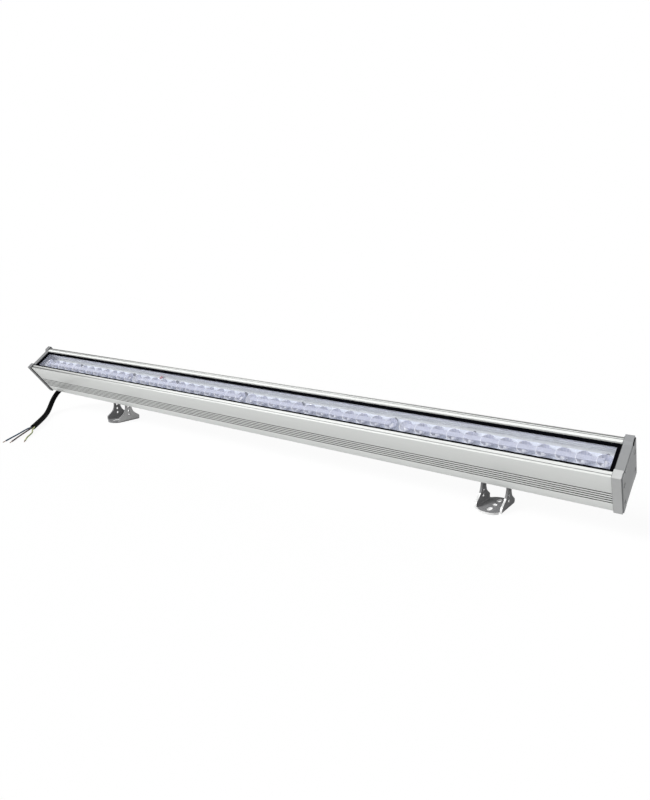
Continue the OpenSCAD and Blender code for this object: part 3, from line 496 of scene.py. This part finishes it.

# %% [markdown]
# ## The lens row
# Each emitter sits under a clear collimator: a cup whose wall throws the
# light forward, with a small dome in the middle. Seen from outside such a cup
# shows bright crescents where its wall mirrors the sky. Real refraction
# through 48 clear cups would be slow and noisy. So each is built open, with a
# faceted wall and a dome, and every point keeps a number for how far its
# colour goes over to white: painted highlights stand for the crescents, and
# painted light keeps the dome and the wall's foot pale where they would lie in
# shade. Twelve cups and a web are one moulding, and there are four.

# %% The profile of a cup and its painted highlights
BOARD_V, SIDES = 17.5, 24
WALL_FOOT_R, WALL_SPREAD, WALL_CURVE, WALL_HIGH = 3.6, 3.7, 0.62, 6.0
DOME_R, DOME_HIGH, DOME_FOOT_V = 3.4, 3.8, 15.4
BRIGHT_WAY = math.radians(215)


def lathe(profile, x, u, sides):
    """A profile of (radius, depth) points turned round the axis at (x, u):
    each ring is x + r cos a, u + r sin a at its own depth, and the last ring
    joins the first."""
    r, v = np.asarray(profile, float).T
    a = 2 * np.pi * np.arange(sides) / sides
    rings = in_head(x + r[:, None] * np.cos(a), u + r[:, None] * np.sin(a), v[:, None])
    return rings, grid_faces(len(r), sides, close_rows=True)


t = np.linspace(0, 1, 7)
wall_r = WALL_FOOT_R + WALL_SPREAD * t**WALL_CURVE
wall_v = BOARD_V - 1.1 - WALL_HIGH * t
dome = np.radians(np.linspace(80, 12, 6))
cup = ([[0.02, 11.6]]
       + [[DOME_R * math.cos(d), DOME_FOOT_V - DOME_HIGH * math.sin(d)] for d in dome]
       + [[r, v] for r, v in zip(wall_r, wall_v)]
       + [[7.4, 10.0], [7.6, 9.9], [7.9, 9.9], [8.0, 10.1], [8.0, 11.1], [7.4, 11.1]]
       + [[3.5, 17.5], [2.5, 17.5], [2.5, 16.5], [0.02, 16.5]])
# How far each ring goes over to white: painted light on the tip, the dome and the wall's foot,
# painted highlights up the wall and on the lip.
ring = np.array([1] + [1, 1, 1, 0.9, 0.8, 0.7]            # tip and dome
                + [0.6, 0.7, 0.85, 1, 1, 1, 1]            # wall, from its foot up
                + [1] * 6 + [0.3] * 4)                    # lip, then the underside
facet = np.arange(SIDES)
# painted highlights: crescents on the facets towards BRIGHT_WAY, and every other facet paler
around = np.clip(np.cos(2 * np.pi * facet / SIDES - BRIGHT_WAY) + 0.15, 0, 1)
arcs = np.outer(ring, 0.05 + 0.75 * around + 0.2 * (facet % 2))
# painted light: the dome and the wall's foot stay pale where shade would fall in the cup
arcs[:7] = ring[:7, None]                       # tip and dome: the same all round
arcs[7:10] = np.maximum(arcs[7:10], 0.5)        # the wall's foot is never dark
print("cup profile", len(cup), "points")

# %% The four mouldings
ROW_U, PITCH, LENSES, BOARDS = 25.0, 20.3, 48, 4
EACH = LENSES // BOARDS
LENS_X = PITCH * (np.arange(LENSES) - (LENSES - 1) / 2)
for board in range(BOARDS):
    places = LENS_X[EACH * board:EACH * board + EACH]
    parts = [lathe(cup, x, ROW_U, SIDES) for x in places]
    parts.append(plate((places[0], places[-1]), (22, 28), (9.96, 11.1), 0.2))
    strip = piece(f"lens_moulding_{board + 1}", *joined(parts), 24)
    web = len(strip.data.vertices) - EACH * SIDES * len(cup)
    mark(strip, "rim", np.concatenate([np.tile(arcs.ravel(), EACH), np.full(web, 0.2)]))
    put(strip, "clear_lens", "head", [f"lens_strip_{board + 1}"])
print("cups", LENSES, "faces each", SIDES * len(cup))

# %% The emitters under them
EMITTER_HALF, EMITTER_V = 1.75, (16.9, 17.5)
CAP_R, CAP_V, CAP_HIGH = 1.4, 16.95, 0.3
cap_profile = [[CAP_R * math.cos(d), CAP_V - CAP_HIGH * math.sin(d)]
               for d in np.radians([2, 30, 60, 88])] + [[0.02, 17.0]]
parts = []
for x in LENS_X:
    parts.append(plate((x - EMITTER_HALF, x + EMITTER_HALF),
                       (ROW_U - EMITTER_HALF, ROW_U + EMITTER_HALF), EMITTER_V, 0.15))
    parts.append(lathe(cap_profile, x, ROW_U, 12))
emitters = piece("emitter_packages", *joined(parts), 40)
put(emitters, "phosphor", "head", ["led_emitters"])
print("emitters", len(LENS_X))

# %% [markdown]
# ## The cable boot
# A moulded rubber elbow comes out of the slot, turns towards the front and
# narrows over relief rings. It is turned work twice over: a stub and collar
# upright in the section and a sleeve along -u, joined by a ball in the elbow.

# %% Stub, elbow and ribbed sleeve
ENTRY_X, ELBOW_U, ELBOW_V = -482.0, 25.75, 62.9
ELBOW_R, SLEEVE, BOOT_SIDES = 5.6, 20, 32
RIBS, RIB_DEEP, RIBS_START = 4.5, 0.5, 1.1


def along_u(profile, x, v, sides):
    """A profile of (radius, distance s towards the front) turned round -u:
    each ring is x + r cos a, v + r sin a at the elbow's u minus s."""
    r, s = np.asarray(profile, float).T
    a = 2 * np.pi * np.arange(sides) / sides
    rings = in_head(x + r[:, None] * np.cos(a), ELBOW_U - s[:, None], v + r[:, None] * np.sin(a))
    return rings, grid_faces(len(r), sides, close_rows=True)


s = np.linspace(0, SLEEVE, 81)
wave = np.sin((s - RIBS_START) / SLEEVE * 2 * np.pi * RIBS)
rib = RIB_DEEP * np.clip(wave, 0, 1)**0.6 * (s > 3) * (s < 19.2)
sleeve_r = ELBOW_R - s / SLEEVE - rib
sleeve_r[-2:] -= [0.1, 0.35]
sleeve = np.concatenate([[[0.02, 0]], np.stack([sleeve_r, s], -1), [[0.02, SLEEVE]]])
a = np.radians(np.linspace(-89.5, 89.5, 19))
ball = np.stack([ELBOW_R * np.cos(a), ELBOW_V + ELBOW_R * np.sin(a)], -1)
stub = [[0.02, 49.7], [4.7, 49.7], [5.0, 50.0], [5.0, 57.2], [ELBOW_R, 57.25],
        [ELBOW_R, ELBOW_V], [0.02, ELBOW_V]]
boot_parts = [lathe(stub, ENTRY_X, ELBOW_U, BOOT_SIDES),
              lathe(ball, ENTRY_X, ELBOW_U, BOOT_SIDES),
              along_u(sleeve, ENTRY_X, ELBOW_V, BOOT_SIDES)]
boot = piece("moulded_boot", *joined(boot_parts), 40)
put(boot, "black_rubber", "head", ["cable_boot"])
print("boot rings", len(sleeve))

# %% [markdown]
# ## Pieces whose solids are already right
# Caps, brackets, shoes, screws and the driver inside need no new shape, only
# softer edges. The imported node is loose triangles and is left alone. A copy
# of it is merged, its flat faces are joined, and a Bevel modifier rounds every
# edge that is sharper than 30 degrees. Widths of the rounding are in
# millimetres, and a few pieces have their own.

# %% A bevelled copy of a node
SAME_POINT = 2e-6                  # metres
FLAT, SHARP = math.radians(0.6), math.radians(30)


def soften(node, slot, body, bevel):
    """Copy the node's mesh, merge its doubles, join its flat faces and put
    a Bevel on the sharp edges."""
    mesh = frame["nodes"][node].data.copy()
    work = bmesh.new()
    work.from_mesh(mesh)
    bmesh.ops.remove_doubles(work, verts=work.verts, dist=SAME_POINT)
    bmesh.ops.dissolve_limit(work, angle_limit=FLAT, verts=work.verts, edges=work.edges)
    clean = bpy.data.meshes.new(node + "_finish")
    work.to_mesh(clean)
    work.free()
    clean.shade_smooth()
    clean.set_sharp_from_angle(angle=SHARP)
    thing = bpy.data.objects.new(clean.name, clean)
    bpy.context.scene.collection.objects.link(thing)
    edge = thing.modifiers.new("edge", "BEVEL")
    edge.width = bevel * MM
    edge.segments = 2
    edge.limit_method = "ANGLE"
    edge.angle_limit = SHARP
    edge.use_clamp_overlap = True
    edge.harden_normals = False
    put(thing, slot, body, [node])


SIDE_NAMES = ("left", "right")
body_of_node = {}
for side in SIDE_NAMES:
    for name in ("slot_shoe", "lock_screw"):
        body_of_node[f"{side}_{name}"] = side + "_shoe"
    for name in ("bracket", "pivot_bolt", "pivot_nut", "pivot_washers"):
        body_of_node[f"{side}_{name}"] = side + "_foot"
slot_of_node = {row["node"]: row["material_slot"] for row in frame["record"]["subparts"]}
EDGE = 0.15
EDGES = {
    "end_cap": 0.35, "end_gasket": 0.1, "slot_shoe": 0.3, "lock_screw": 0.25, "bracket": 0.3,
    "pivot_bolt": 0.2, "pivot_nut": 0.25, "pivot_washers": 0.12, "end_cap_screws": 0.2,
    "cable_entry_foot": 0.3, "driver_tray": 0.3, "driver_cover": 0.3,
}
replaced = {"power_cable", "blue_conductor", "brown_conductor", "earth_conductor", "bare_strands",
            "housing_extrusion", "glass_seal", "glass_bed_gasket", "cover_glass", "led_emitters",
            "cable_boot"} | {f"lens_strip_{k}" for k in range(1, BOARDS + 1)}
for node in frame["nodes"]:
    if node in replaced:
        continue
    plain = node.replace("left_", "").replace("right_", "")
    soften(node, slot_of_node[node], body_of_node.get(node, "head"), EDGES.get(plain, EDGE))
print("softened", len(frame["nodes"]) - len(replaced), "nodes")

# %% [markdown]
# ## Faces with painted light and shade
# A casting has one finish, yet its faces don't look alike: a cap's top is
# darker than its outer side, the steps round its edge show as black lines, and
# the cut edges of bracket sheet are bright. Lamps alone don't separate such
# small faces. So some faces of the softened copies take a second finish,
# chosen by where they lie and which way they look. These are painted light and
# shade: shaded copies of the caps' metal with painted shadow lines, and on the
# brackets painted highlights, a painted-lit ear and pale painted light in the
# holes.

# %% Where faces lie and which way they look
UP = in_head(0, 0, -1) / MM - in_head(0, 0, 0) / MM
BACK = in_head(0, 1, 0) / MM - in_head(0, 0, 0) / MM


def section_place(points):
    """The reverse of in_head: the u and v of points of the part's frame."""
    y, z = points[:, 1] / MM - PIVOT_Y, points[:, 2] / MM - PIVOT_Z
    return (PIVOT_U + y * math.cos(LEAN) + z * math.sin(LEAN),
            PIVOT_V + y * math.sin(LEAN) - z * math.cos(LEAN))


def face_arrays(mesh):
    """Centres and normals of all faces."""
    centre, normal = np.empty(3 * len(mesh.polygons)), np.empty(3 * len(mesh.polygons))
    mesh.polygons.foreach_get("center", centre)
    mesh.polygons.foreach_get("normal", normal)
    return centre.reshape(-1, 3), normal.reshape(-1, 3)


def point_array(mesh):
    """All points of the mesh."""
    place = np.empty(3 * len(mesh.vertices))
    mesh.vertices.foreach_get("co", place)
    return place.reshape(-1, 3)


def set_kinds(mesh, kind):
    """Number each face's finish: 0 is the slot's own, 1 and up are those that
    EXTRA adds to it when the finishes are given."""
    mesh.polygons.foreach_set("material_index", np.asarray(kind, np.int32))


print("up in the light", UP.round(4), "back", BACK.round(4))

# %% The caps: painted shade on the top, steps and inner side
# painted shadow: a black strip across the cap's top, beside the dip
STRIP_U = (9.9, 10.5)       # a dark strip across the top, beside the dip
STEP_X = 0.4988             # metres: the ledge of the step round the outer side
for side in SIDE_NAMES:
    mesh = bpy.data.objects[side + "_end_cap_finish"].data
    work = bmesh.new()
    work.from_mesh(mesh)
    for u in STRIP_U:
        bmesh.ops.bisect_plane(work, geom=work.verts[:] + work.edges[:] + work.faces[:], dist=1e-6,
                               plane_co=in_head(0, u, 0), plane_no=BACK)
    work.to_mesh(mesh)
    work.free()
    centre, normal = face_arrays(mesh)
    u, v = section_place(centre)
    x, nx = abs(centre[:, 0]), abs(normal[:, 0])
    top = (normal @ UP > 0.5) & (v < 4)
    step = (abs(x - STEP_X) < 2e-4) & (nx > 0.9) | (x > STEP_X + 1e-4) & (nx < 0.5)
    # painted shade: on the right cap the top, steps and outer side take a shaded copy, the back and
    # lower steps and the strip black; the left cap takes a darker shaded copy all over, black on
    # those steps, the strip and its inner side
    dark = step & ((u > 40) | (v > 45)) | top & (u > STRIP_U[0]) & (u < STRIP_U[1])
    grey = top & (u > STRIP_U[1]) | step | (nx > 0.9)
    if side == "left":
        inner = (normal[:, 0] > 0.9) & (x < 0.4905)
        kind = np.where(dark | inner, 2, 3)
    else:
        kind = np.where(dark, 2, grey)
    set_kinds(mesh, kind)
    print(side, "cap faces", len(kind), "black", int((kind == 2).sum()))

# %% The end gaskets: a proud edge and sides with pale painted light
PROUD = 0.03
for side in SIDE_NAMES:
    mesh = bpy.data.objects[side + "_end_gasket_finish"].data
    place = point_array(mesh)
    u, v = section_place(place)
    u = np.where(u < 0.5, -PROUD, np.where(u > WIDTH - 0.5, WIDTH + PROUD, u))
    v = np.where(v < 0.5, -PROUD, np.where(v > HEIGHT - 0.5, HEIGHT + PROUD, v))
    mesh.vertices.foreach_set("co", in_head(place[:, 0] / MM, u, v).ravel())
    # painted light: the sides facing along x, seen through the glass at the ends, take a pale
    # finish where shade would fall
    set_kinds(mesh, abs(face_arrays(mesh)[1][:, 0]) > 0.9)
    print(side, "gasket points", len(place))

# %% The brackets: painted highlights on the right's cut edges, painted light on the left's ear and in the holes
LEFT_EAR_X = -319 + 16      # between the two faces of the left bracket's right ear
for side in SIDE_NAMES:
    mesh = bpy.data.objects[side + "_bracket_finish"].data
    centre, normal = face_arrays(mesh)
    off = abs(centre[:, 0] - centre[:, 0].mean()) / MM
    z = centre[:, 2] / MM
    nx, ny, nz = abs(normal).T
    # painted light: the hole walls go pale, standing for the white floor seen through them
    hole = (z < 2.6) & (nz < 0.3) & (off < 8) & (abs(centre[:, 1] / MM - PIVOT_Y) < 22)
    # painted light: the left bracket's near ear takes a paler copy on its outer face; painted
    # highlights: the right bracket's cut edges go bright
    if side == "left":
        rest = 3 * ((normal[:, 0] > 0.9) & (centre[:, 0] / MM > LEFT_EAR_X))
    else:
        rest = (z > 3) & (z < 18) & (nx < 0.2) | (z < 2.6) & (nz < 0.3) & (ny > 0.2)
    set_kinds(mesh, np.where(hole, 2, rest))
    print(side, "bracket: hole walls", int(hole.sum()), "other chosen faces", int((rest > 0).sum()))

# %% The board screws' heads, raised so that the opaque cups don't hide them
HEAD_RISE = 1.6
mesh = bpy.data.objects["board_screws_finish"].data
place = point_array(mesh)
u, v = section_place(place)
v = np.where(v < 16.3, v - HEAD_RISE, v)
mesh.vertices.foreach_set("co", in_head(place[:, 0] / MM, u, v).ravel())
print("board screws raised by", HEAD_RISE, "mm")

# %% [markdown]
# ## Finishes
# Every finish is a Principled surface whose colour, roughness and height come
# from one shared group of noise, so that no surface is a single flat colour.
# The group stretches its noise along x for drawn metal. Numbers that are the
# same all over a surface stay on the shader's own sockets.

# %% The shared group: fine tone, roughness and height


def build_grain():
    """Colour, roughness and height that all follow the sum of two noises:
    colour times (1 + tone * noise), roughness + spread * noise."""
    group = bpy.data.node_groups.new("fine_grain", "ShaderNodeTree")
    face = group.interface
    for label, kind, value in (
            ("Place", "NodeSocketVector", None), ("Colour", "NodeSocketColor", (0.5, 0.5, 0.5, 1)),
            ("Tone", "NodeSocketFloat", 0.05), ("Cloud size", "NodeSocketFloat", 40),
            ("Grain size", "NodeSocketFloat", 900), ("Roughness", "NodeSocketFloat", 0.5),
            ("Rough spread", "NodeSocketFloat", 0.08)):
        socket = face.new_socket(name=label, in_out="INPUT", socket_type=kind)
        if value is not None:
            socket.default_value = value
    for label, kind in (("Colour", "NodeSocketColor"), ("Roughness", "NodeSocketFloat"),
                        ("Height", "NodeSocketFloat")):
        face.new_socket(name=label, in_out="OUTPUT", socket_type=kind)
    nodes, link = group.nodes, group.links.new
    source, sink = nodes.new("NodeGroupInput"), nodes.new("NodeGroupOutput")
    cloud, grain = nodes.new("ShaderNodeTexNoise"), nodes.new("ShaderNodeTexNoise")
    cloud.inputs["Detail"].default_value = 4
    grain.inputs["Detail"].default_value = 2
    for noise, size in ((cloud, "Cloud size"), (grain, "Grain size")):
        link(source.outputs["Place"], noise.inputs["Vector"])
        link(source.outputs[size], noise.inputs["Scale"])
    both = nodes.new("ShaderNodeMath")
    both.operation = "ADD"
    link(cloud.outputs["Fac"], both.inputs[0])
    link(grain.outputs["Fac"], both.inputs[1])
    centred = nodes.new("ShaderNodeMath")
    centred.operation = "SUBTRACT"
    link(both.outputs[0], centred.inputs[0])
    centred.inputs[1].default_value = 1
    tone = nodes.new("ShaderNodeMath")
    tone.operation = "MULTIPLY_ADD"
    link(centred.outputs[0], tone.inputs[0])
    link(source.outputs["Tone"], tone.inputs[1])
    tone.inputs[2].default_value = 1
    paint = nodes.new("ShaderNodeVectorMath")
    paint.operation = "SCALE"
    link(source.outputs["Colour"], paint.inputs[0])
    link(tone.outputs[0], paint.inputs["Scale"])
    rough = nodes.new("ShaderNodeMath")
    rough.operation = "MULTIPLY_ADD"
    rough.use_clamp = True
    link(centred.outputs[0], rough.inputs[0])
    link(source.outputs["Rough spread"], rough.inputs[1])
    link(source.outputs["Roughness"], rough.inputs[2])
    link(paint.outputs[0], sink.inputs["Colour"])
    link(rough.outputs[0], sink.inputs["Roughness"])
    link(grain.outputs["Fac"], sink.inputs["Height"])
    return group


grain_group = build_grain()
print("group", grain_group.name, "with", len(grain_group.nodes), "nodes")

# %% A finish that uses it
finishes = {}


def finish(name, colour, rough, metallic=0.0, tone=0.1, cloud=40, grain=900, stretch=1.0,
           bump=0.1, coat=0.0, ior=1.5, alpha=1.0, shine=0.5, mask=None, other=None):
    """A Principled surface fed by the shared group. stretch below one draws
    the noise out along x. Where the named mask of the mesh is one, the
    colour goes over to the other colour."""
    made = finishes[name] = bpy.data.materials.new(name)
    made.use_nodes = True
    nodes, link = made.node_tree.nodes, made.node_tree.links.new
    shader = nodes["Principled BSDF"]
    place, mapping = nodes.new("ShaderNodeTexCoord"), nodes.new("ShaderNodeMapping")
    mapping.inputs["Scale"].default_value = (stretch, 1, 1)
    link(place.outputs["Object"], mapping.inputs["Vector"])
    group = nodes.new("ShaderNodeGroup")
    group.node_tree = grain_group
    link(mapping.outputs["Vector"], group.inputs["Place"])
    group.inputs["Colour"].default_value = (*colour, 1)
    for label, value in (("Tone", tone), ("Cloud size", cloud), ("Grain size", grain),
                         ("Roughness", rough), ("Rough spread", 0.1)):
        group.inputs[label].default_value = value
    base = group.outputs["Colour"]
    if mask:
        where, mix = nodes.new("ShaderNodeAttribute"), nodes.new("ShaderNodeMix")
        where.attribute_name = mask
        mix.data_type = "RGBA"
        link(where.outputs["Fac"], mix.inputs["Factor"])
        link(base, mix.inputs["A"])
        mix.inputs["B"].default_value = (*other, 1)
        base = mix.outputs["Result"]
    link(base, shader.inputs["Base Color"])
    link(group.outputs["Roughness"], shader.inputs["Roughness"])
    relief = nodes.new("ShaderNodeBump")
    relief.inputs["Strength"].default_value = bump
    relief.inputs["Distance"].default_value = 0.0002
    link(group.outputs["Height"], relief.inputs["Height"])
    link(relief.outputs["Normal"], shader.inputs["Normal"])
    for label, value in (("Metallic", metallic), ("Coat Weight", coat), ("IOR", ior),
                         ("Alpha", alpha), ("Specular IOR Level", shine)):
        shader.inputs[label].default_value = value


# %% Metals: name, colour, roughness, metallic, tone, cloud and grain size
BLACK, WHITE = (0.02, 0.02, 0.02), (1.0, 1.0, 1.0)
# The housing's colour goes over to black where its painted shade is one.
finish("anodised_aluminium", (0.69, 0.705, 0.69), 0.42, 0.15, 0.05, 30, 700, 0.03,
       mask="hollow", other=BLACK)
finish("cast_caps", (0.45, 0.455, 0.455), 0.5, 0.1, 0.08, 60, 1400, bump=0.2)
# Painted shade on the caps: a shaded copy, black for painted shadow lines, and a darker shaded copy
# for the left cap.
finish("cast_caps_top", (0.23, 0.235, 0.24), 0.5, 0.1, 0.1, 60, 1400, bump=0.2)
finish("cast_caps_edge", BLACK, 0.55, 0, 0.2, 60, 1400, shine=0.1)
finish("cast_caps_far", (0.14, 0.142, 0.145), 0.5, 0.1, 0.1, 60, 1400, bump=0.2)
finish("stainless_screws", (0.09, 0.09, 0.095), 0.35, 0.3, 0.1, 150, 2500)
finish("dark_screws", (0.02, 0.02, 0.022), 0.4, 0, 0.2, 200, 2000, shine=0.3)
finish("shoe_metal", (0.22, 0.22, 0.23), 0.42, 0.3, 0.1, 60, 1300, 0.1)
finish("bracket_metal", (0.22, 0.22, 0.225), 0.7, 0, 0.2, 90, 1200, shine=0.05)
# Painted light on the brackets: a painted highlight for cut edges, a painted-lit copy for the left
# ear, and pale painted light for the hole walls.
finish("bracket_edge", (0.62, 0.62, 0.62), 0.4, 0.2, 0.1, 70, 1200)
finish("bracket_lit", (0.56, 0.56, 0.56), 0.6, 0, 0.25, 90, 1200, shine=0.1)
finish("bracket_hole", (0.95, 0.95, 0.95), 0.5, 0, 0.03, 70, 1200)
finish("driver_metal", (0.55, 0.56, 0.57), 0.38, 0.8, 0.08, 50, 1300, 0.1)
finish("bare_copper", (0.36, 0.22, 0.16), 0.35, 0.6, 0.15, 300, 2500)
print("metals", len(finishes))

# %% Glass, lenses, boards and what lies inside
finish("cover_glass", (0.61, 0.64, 0.78), 0.05, 0, 0.5, 90, 260, bump=0.0, alpha=0.15)
# The lens colour goes over to white where its painted light and highlights are one.
finish("clear_lens", (0.33, 0.35, 0.47), 0.1, 0, 0.3, 220, 600, ior=1.6, coat=0.3,
       mask="rim", other=WHITE)
finish("phosphor", (0.85, 0.75, 0.35), 0.35, 0, 0.1, 300, 2500)
finish("board_white", (0.86, 0.90, 1.0), 0.45, 0, 0.3, 70, 700)
finish("circuit_green", (0.03, 0.16, 0.07), 0.35, 0, 0.35, 260, 1500)
finish("winding_tape", (0.65, 0.45, 0.05), 0.35, 0, 0.1, 200, 1500)
finish("capacitor_sleeve", (0.02, 0.03, 0.08), 0.3, 0, 0.1, 150, 1500)
print("finishes so far", len(finishes))

# %% Rubber, silicone, plastic and insulation
finish("black_seal", (0.002, 0.002, 0.003), 0.8, 0, 0.3, 60, 1200, shine=0)
# painted light: a pale finish for the glass bed and the end gaskets' sides, standing for light seen
# through the glass
finish("bed_silicone", (0.8, 0.82, 0.9), 0.6, 0, 0.15, 60, 1200)
finish("grey_gasket", (0.03, 0.03, 0.032), 0.7, 0, 0.2, 80, 1500, shine=0.2)
finish("black_plastic", (0.012, 0.012, 0.013), 0.5, 0, 0.2, 100, 1600, bump=0.2, shine=0.25)
finish("black_rubber", (0.003, 0.003, 0.003), 0.7, 0, 0.25, 90, 1400, bump=0.2, shine=0.02)
finish("lead_red", (0.45, 0.03, 0.02), 0.4, 0, 0.1, 120, 1500)
finish("lead_grey", (0.12, 0.12, 0.13), 0.45, 0, 0.1, 150, 1500)
finish("wire_blue", (0.006, 0.06, 0.12), 0.42, 0, 0.12, 120, 1500, shine=0.3)
finish("wire_brown", (0.045, 0.022, 0.026), 0.42, 0, 0.12, 120, 1500, shine=0.3)
finish("wire_green_yellow", (0.47, 0.49, 0.24), 0.42, 0, 0.1, 120, 1500, shine=0.3,
       mask="stripe", other=(0.06, 0.25, 0.07))
print("finishes", len(finishes))

# %% Give every shown piece its finish
# The glass bed and the end gaskets' sides take the pale painted light instead of their gasket
# colour.
EXTRA = {"grey_gasket": ("bed_silicone",),
         "cast_caps": ("cast_caps_top", "cast_caps_edge", "cast_caps_far"),
         "bracket_metal": ("bracket_edge", "bracket_hole", "bracket_lit")}
OTHER = {"board_screws_finish": "dark_screws", "glazing_bed": "bed_silicone"}
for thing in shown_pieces():
    kinds = np.empty(len(thing.data.polygons), np.int32)
    thing.data.polygons.foreach_get("material_index", kinds)
    thing.data.materials.clear()
    slot = thing["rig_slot"]
    for name in (OTHER.get(thing.name, slot), *EXTRA.get(slot, ())):
        thing.data.materials.append(finishes[name])
    thing.data.polygons.foreach_set("material_index", kinds)

# %% [markdown]
# ## A floor that looks white
# The object stands on a matt floor that has no edge in the picture. A floor lit
# only by lamps would come out grey, and more light would burn out the pale
# aluminium. So rays from the camera, from mirrors and through glass see it
# nearly as plain white, with just enough matt share to keep the object's soft
# shadow, while it throws an ordinary amount of light back on the object.

# %% The floor
FLOOR_REACH, WHITE_SHARE, BOUNCE_GREY = 30.0, 0.93, 0.4


def background_rays(nodes, link):
    """1 for a ray from the camera, a glossy one or one through glass, else 0:
    the largest of the Light Path's three answers."""
    source = nodes.new("ShaderNodeLightPath")
    first, most = nodes.new("ShaderNodeMath"), nodes.new("ShaderNodeMath")
    first.operation = most.operation = "MAXIMUM"
    link(source.outputs["Is Camera Ray"], first.inputs[0])
    link(source.outputs["Is Glossy Ray"], first.inputs[1])
    link(first.outputs[0], most.inputs[0])
    link(source.outputs["Is Transmission Ray"], most.inputs[1])
    return most.outputs[0]


floor = bpy.data.objects.new("floor", bpy.data.meshes.new("floor"))
floor.data.from_pydata([(x * FLOOR_REACH, y * FLOOR_REACH, 0)
                        for x, y in ((-1, -1), (1, -1), (1, 1), (-1, 1))], [], [(0, 1, 2, 3)])
bpy.context.scene.collection.objects.link(floor)
paper = bpy.data.materials.new("floor_paper")
paper.use_nodes = True
nodes, link = paper.node_tree.nodes, paper.node_tree.links.new
nodes.remove(nodes["Principled BSDF"])
bounce, matt = nodes.new("ShaderNodeBsdfDiffuse"), nodes.new("ShaderNodeBsdfDiffuse")
bounce.inputs["Color"].default_value = (BOUNCE_GREY, BOUNCE_GREY, BOUNCE_GREY, 1)
matt.inputs["Color"].default_value = (1, 1, 1, 1)
glow = nodes.new("ShaderNodeEmission")
seen, floor_mix = nodes.new("ShaderNodeMixShader"), nodes.new("ShaderNodeMixShader")
seen.inputs["Fac"].default_value = WHITE_SHARE
link(matt.outputs[0], seen.inputs[1])
link(glow.outputs[0], seen.inputs[2])
link(background_rays(nodes, link), floor_mix.inputs["Fac"])
link(bounce.outputs[0], floor_mix.inputs[1])
link(seen.outputs[0], floor_mix.inputs[2])
link(floor_mix.outputs[0], nodes["Material Output"].inputs["Surface"])
floor.data.materials.append(paper)
print("floor reaches", FLOOR_REACH, "m, white share", WHITE_SHARE)

# %% [markdown]
# ## The sky round it
# The world does the same: white to look at, and a low even light for the
# object, so that the sides away from the lamps stay readable and still darker.

# %% The world
SKY_LIGHT, SKY_SEEN = 0.28, 1.0
world = bpy.data.worlds.new("plain")
bpy.context.scene.world = world
world.use_nodes = True
nodes, link = world.node_tree.nodes, world.node_tree.links.new
level = nodes.new("ShaderNodeMapRange")
level.inputs["To Min"].default_value = SKY_LIGHT
level.inputs["To Max"].default_value = SKY_SEEN
link(background_rays(nodes, link), level.inputs["Value"])
link(level.outputs["Result"], nodes["Background"].inputs["Strength"])
nodes["Background"].inputs["Color"].default_value = (1, 1, 1, 1)
print("world lights the object at", SKY_LIGHT)

# %% [markdown]
# ## Four soft suns
# A sun lamp lights everything evenly from one side, which suits an object a
# metre long. The key comes from the upper left front. Two weak low ones light
# the faces that lean forward and those that look to the right, and one behind
# keeps the back from going black.

# %% The lamps


def sun(name, towards, strength, spread):
    """A sun whose light comes from the given direction. The spread, in
    degrees, is its size in the sky, which softens its shadows."""
    lamp = bpy.data.lights.new(name, "SUN")
    lamp.energy = strength
    lamp.angle = math.radians(spread)
    thing = bpy.data.objects.new(name, lamp)
    thing.rotation_mode = "QUATERNION"
    thing.rotation_quaternion = Vector(towards).to_track_quat("Z", "Y")
    bpy.context.scene.collection.objects.link(thing)


sun("key", (-0.45, -0.65, 0.62), 2.8, 25)
sun("low_fill", (-0.25, -0.95, 0.12), 1.5, 40)
sun("side_fill", (0.62, -0.75, 0.15), 0.4, 40)
sun("back_fill", (0.3, 0.9, 0.3), 0.8, 40)
bpy.context.scene.view_settings.view_transform = "Standard"
print("lamps", [lamp.name for lamp in bpy.data.lights])
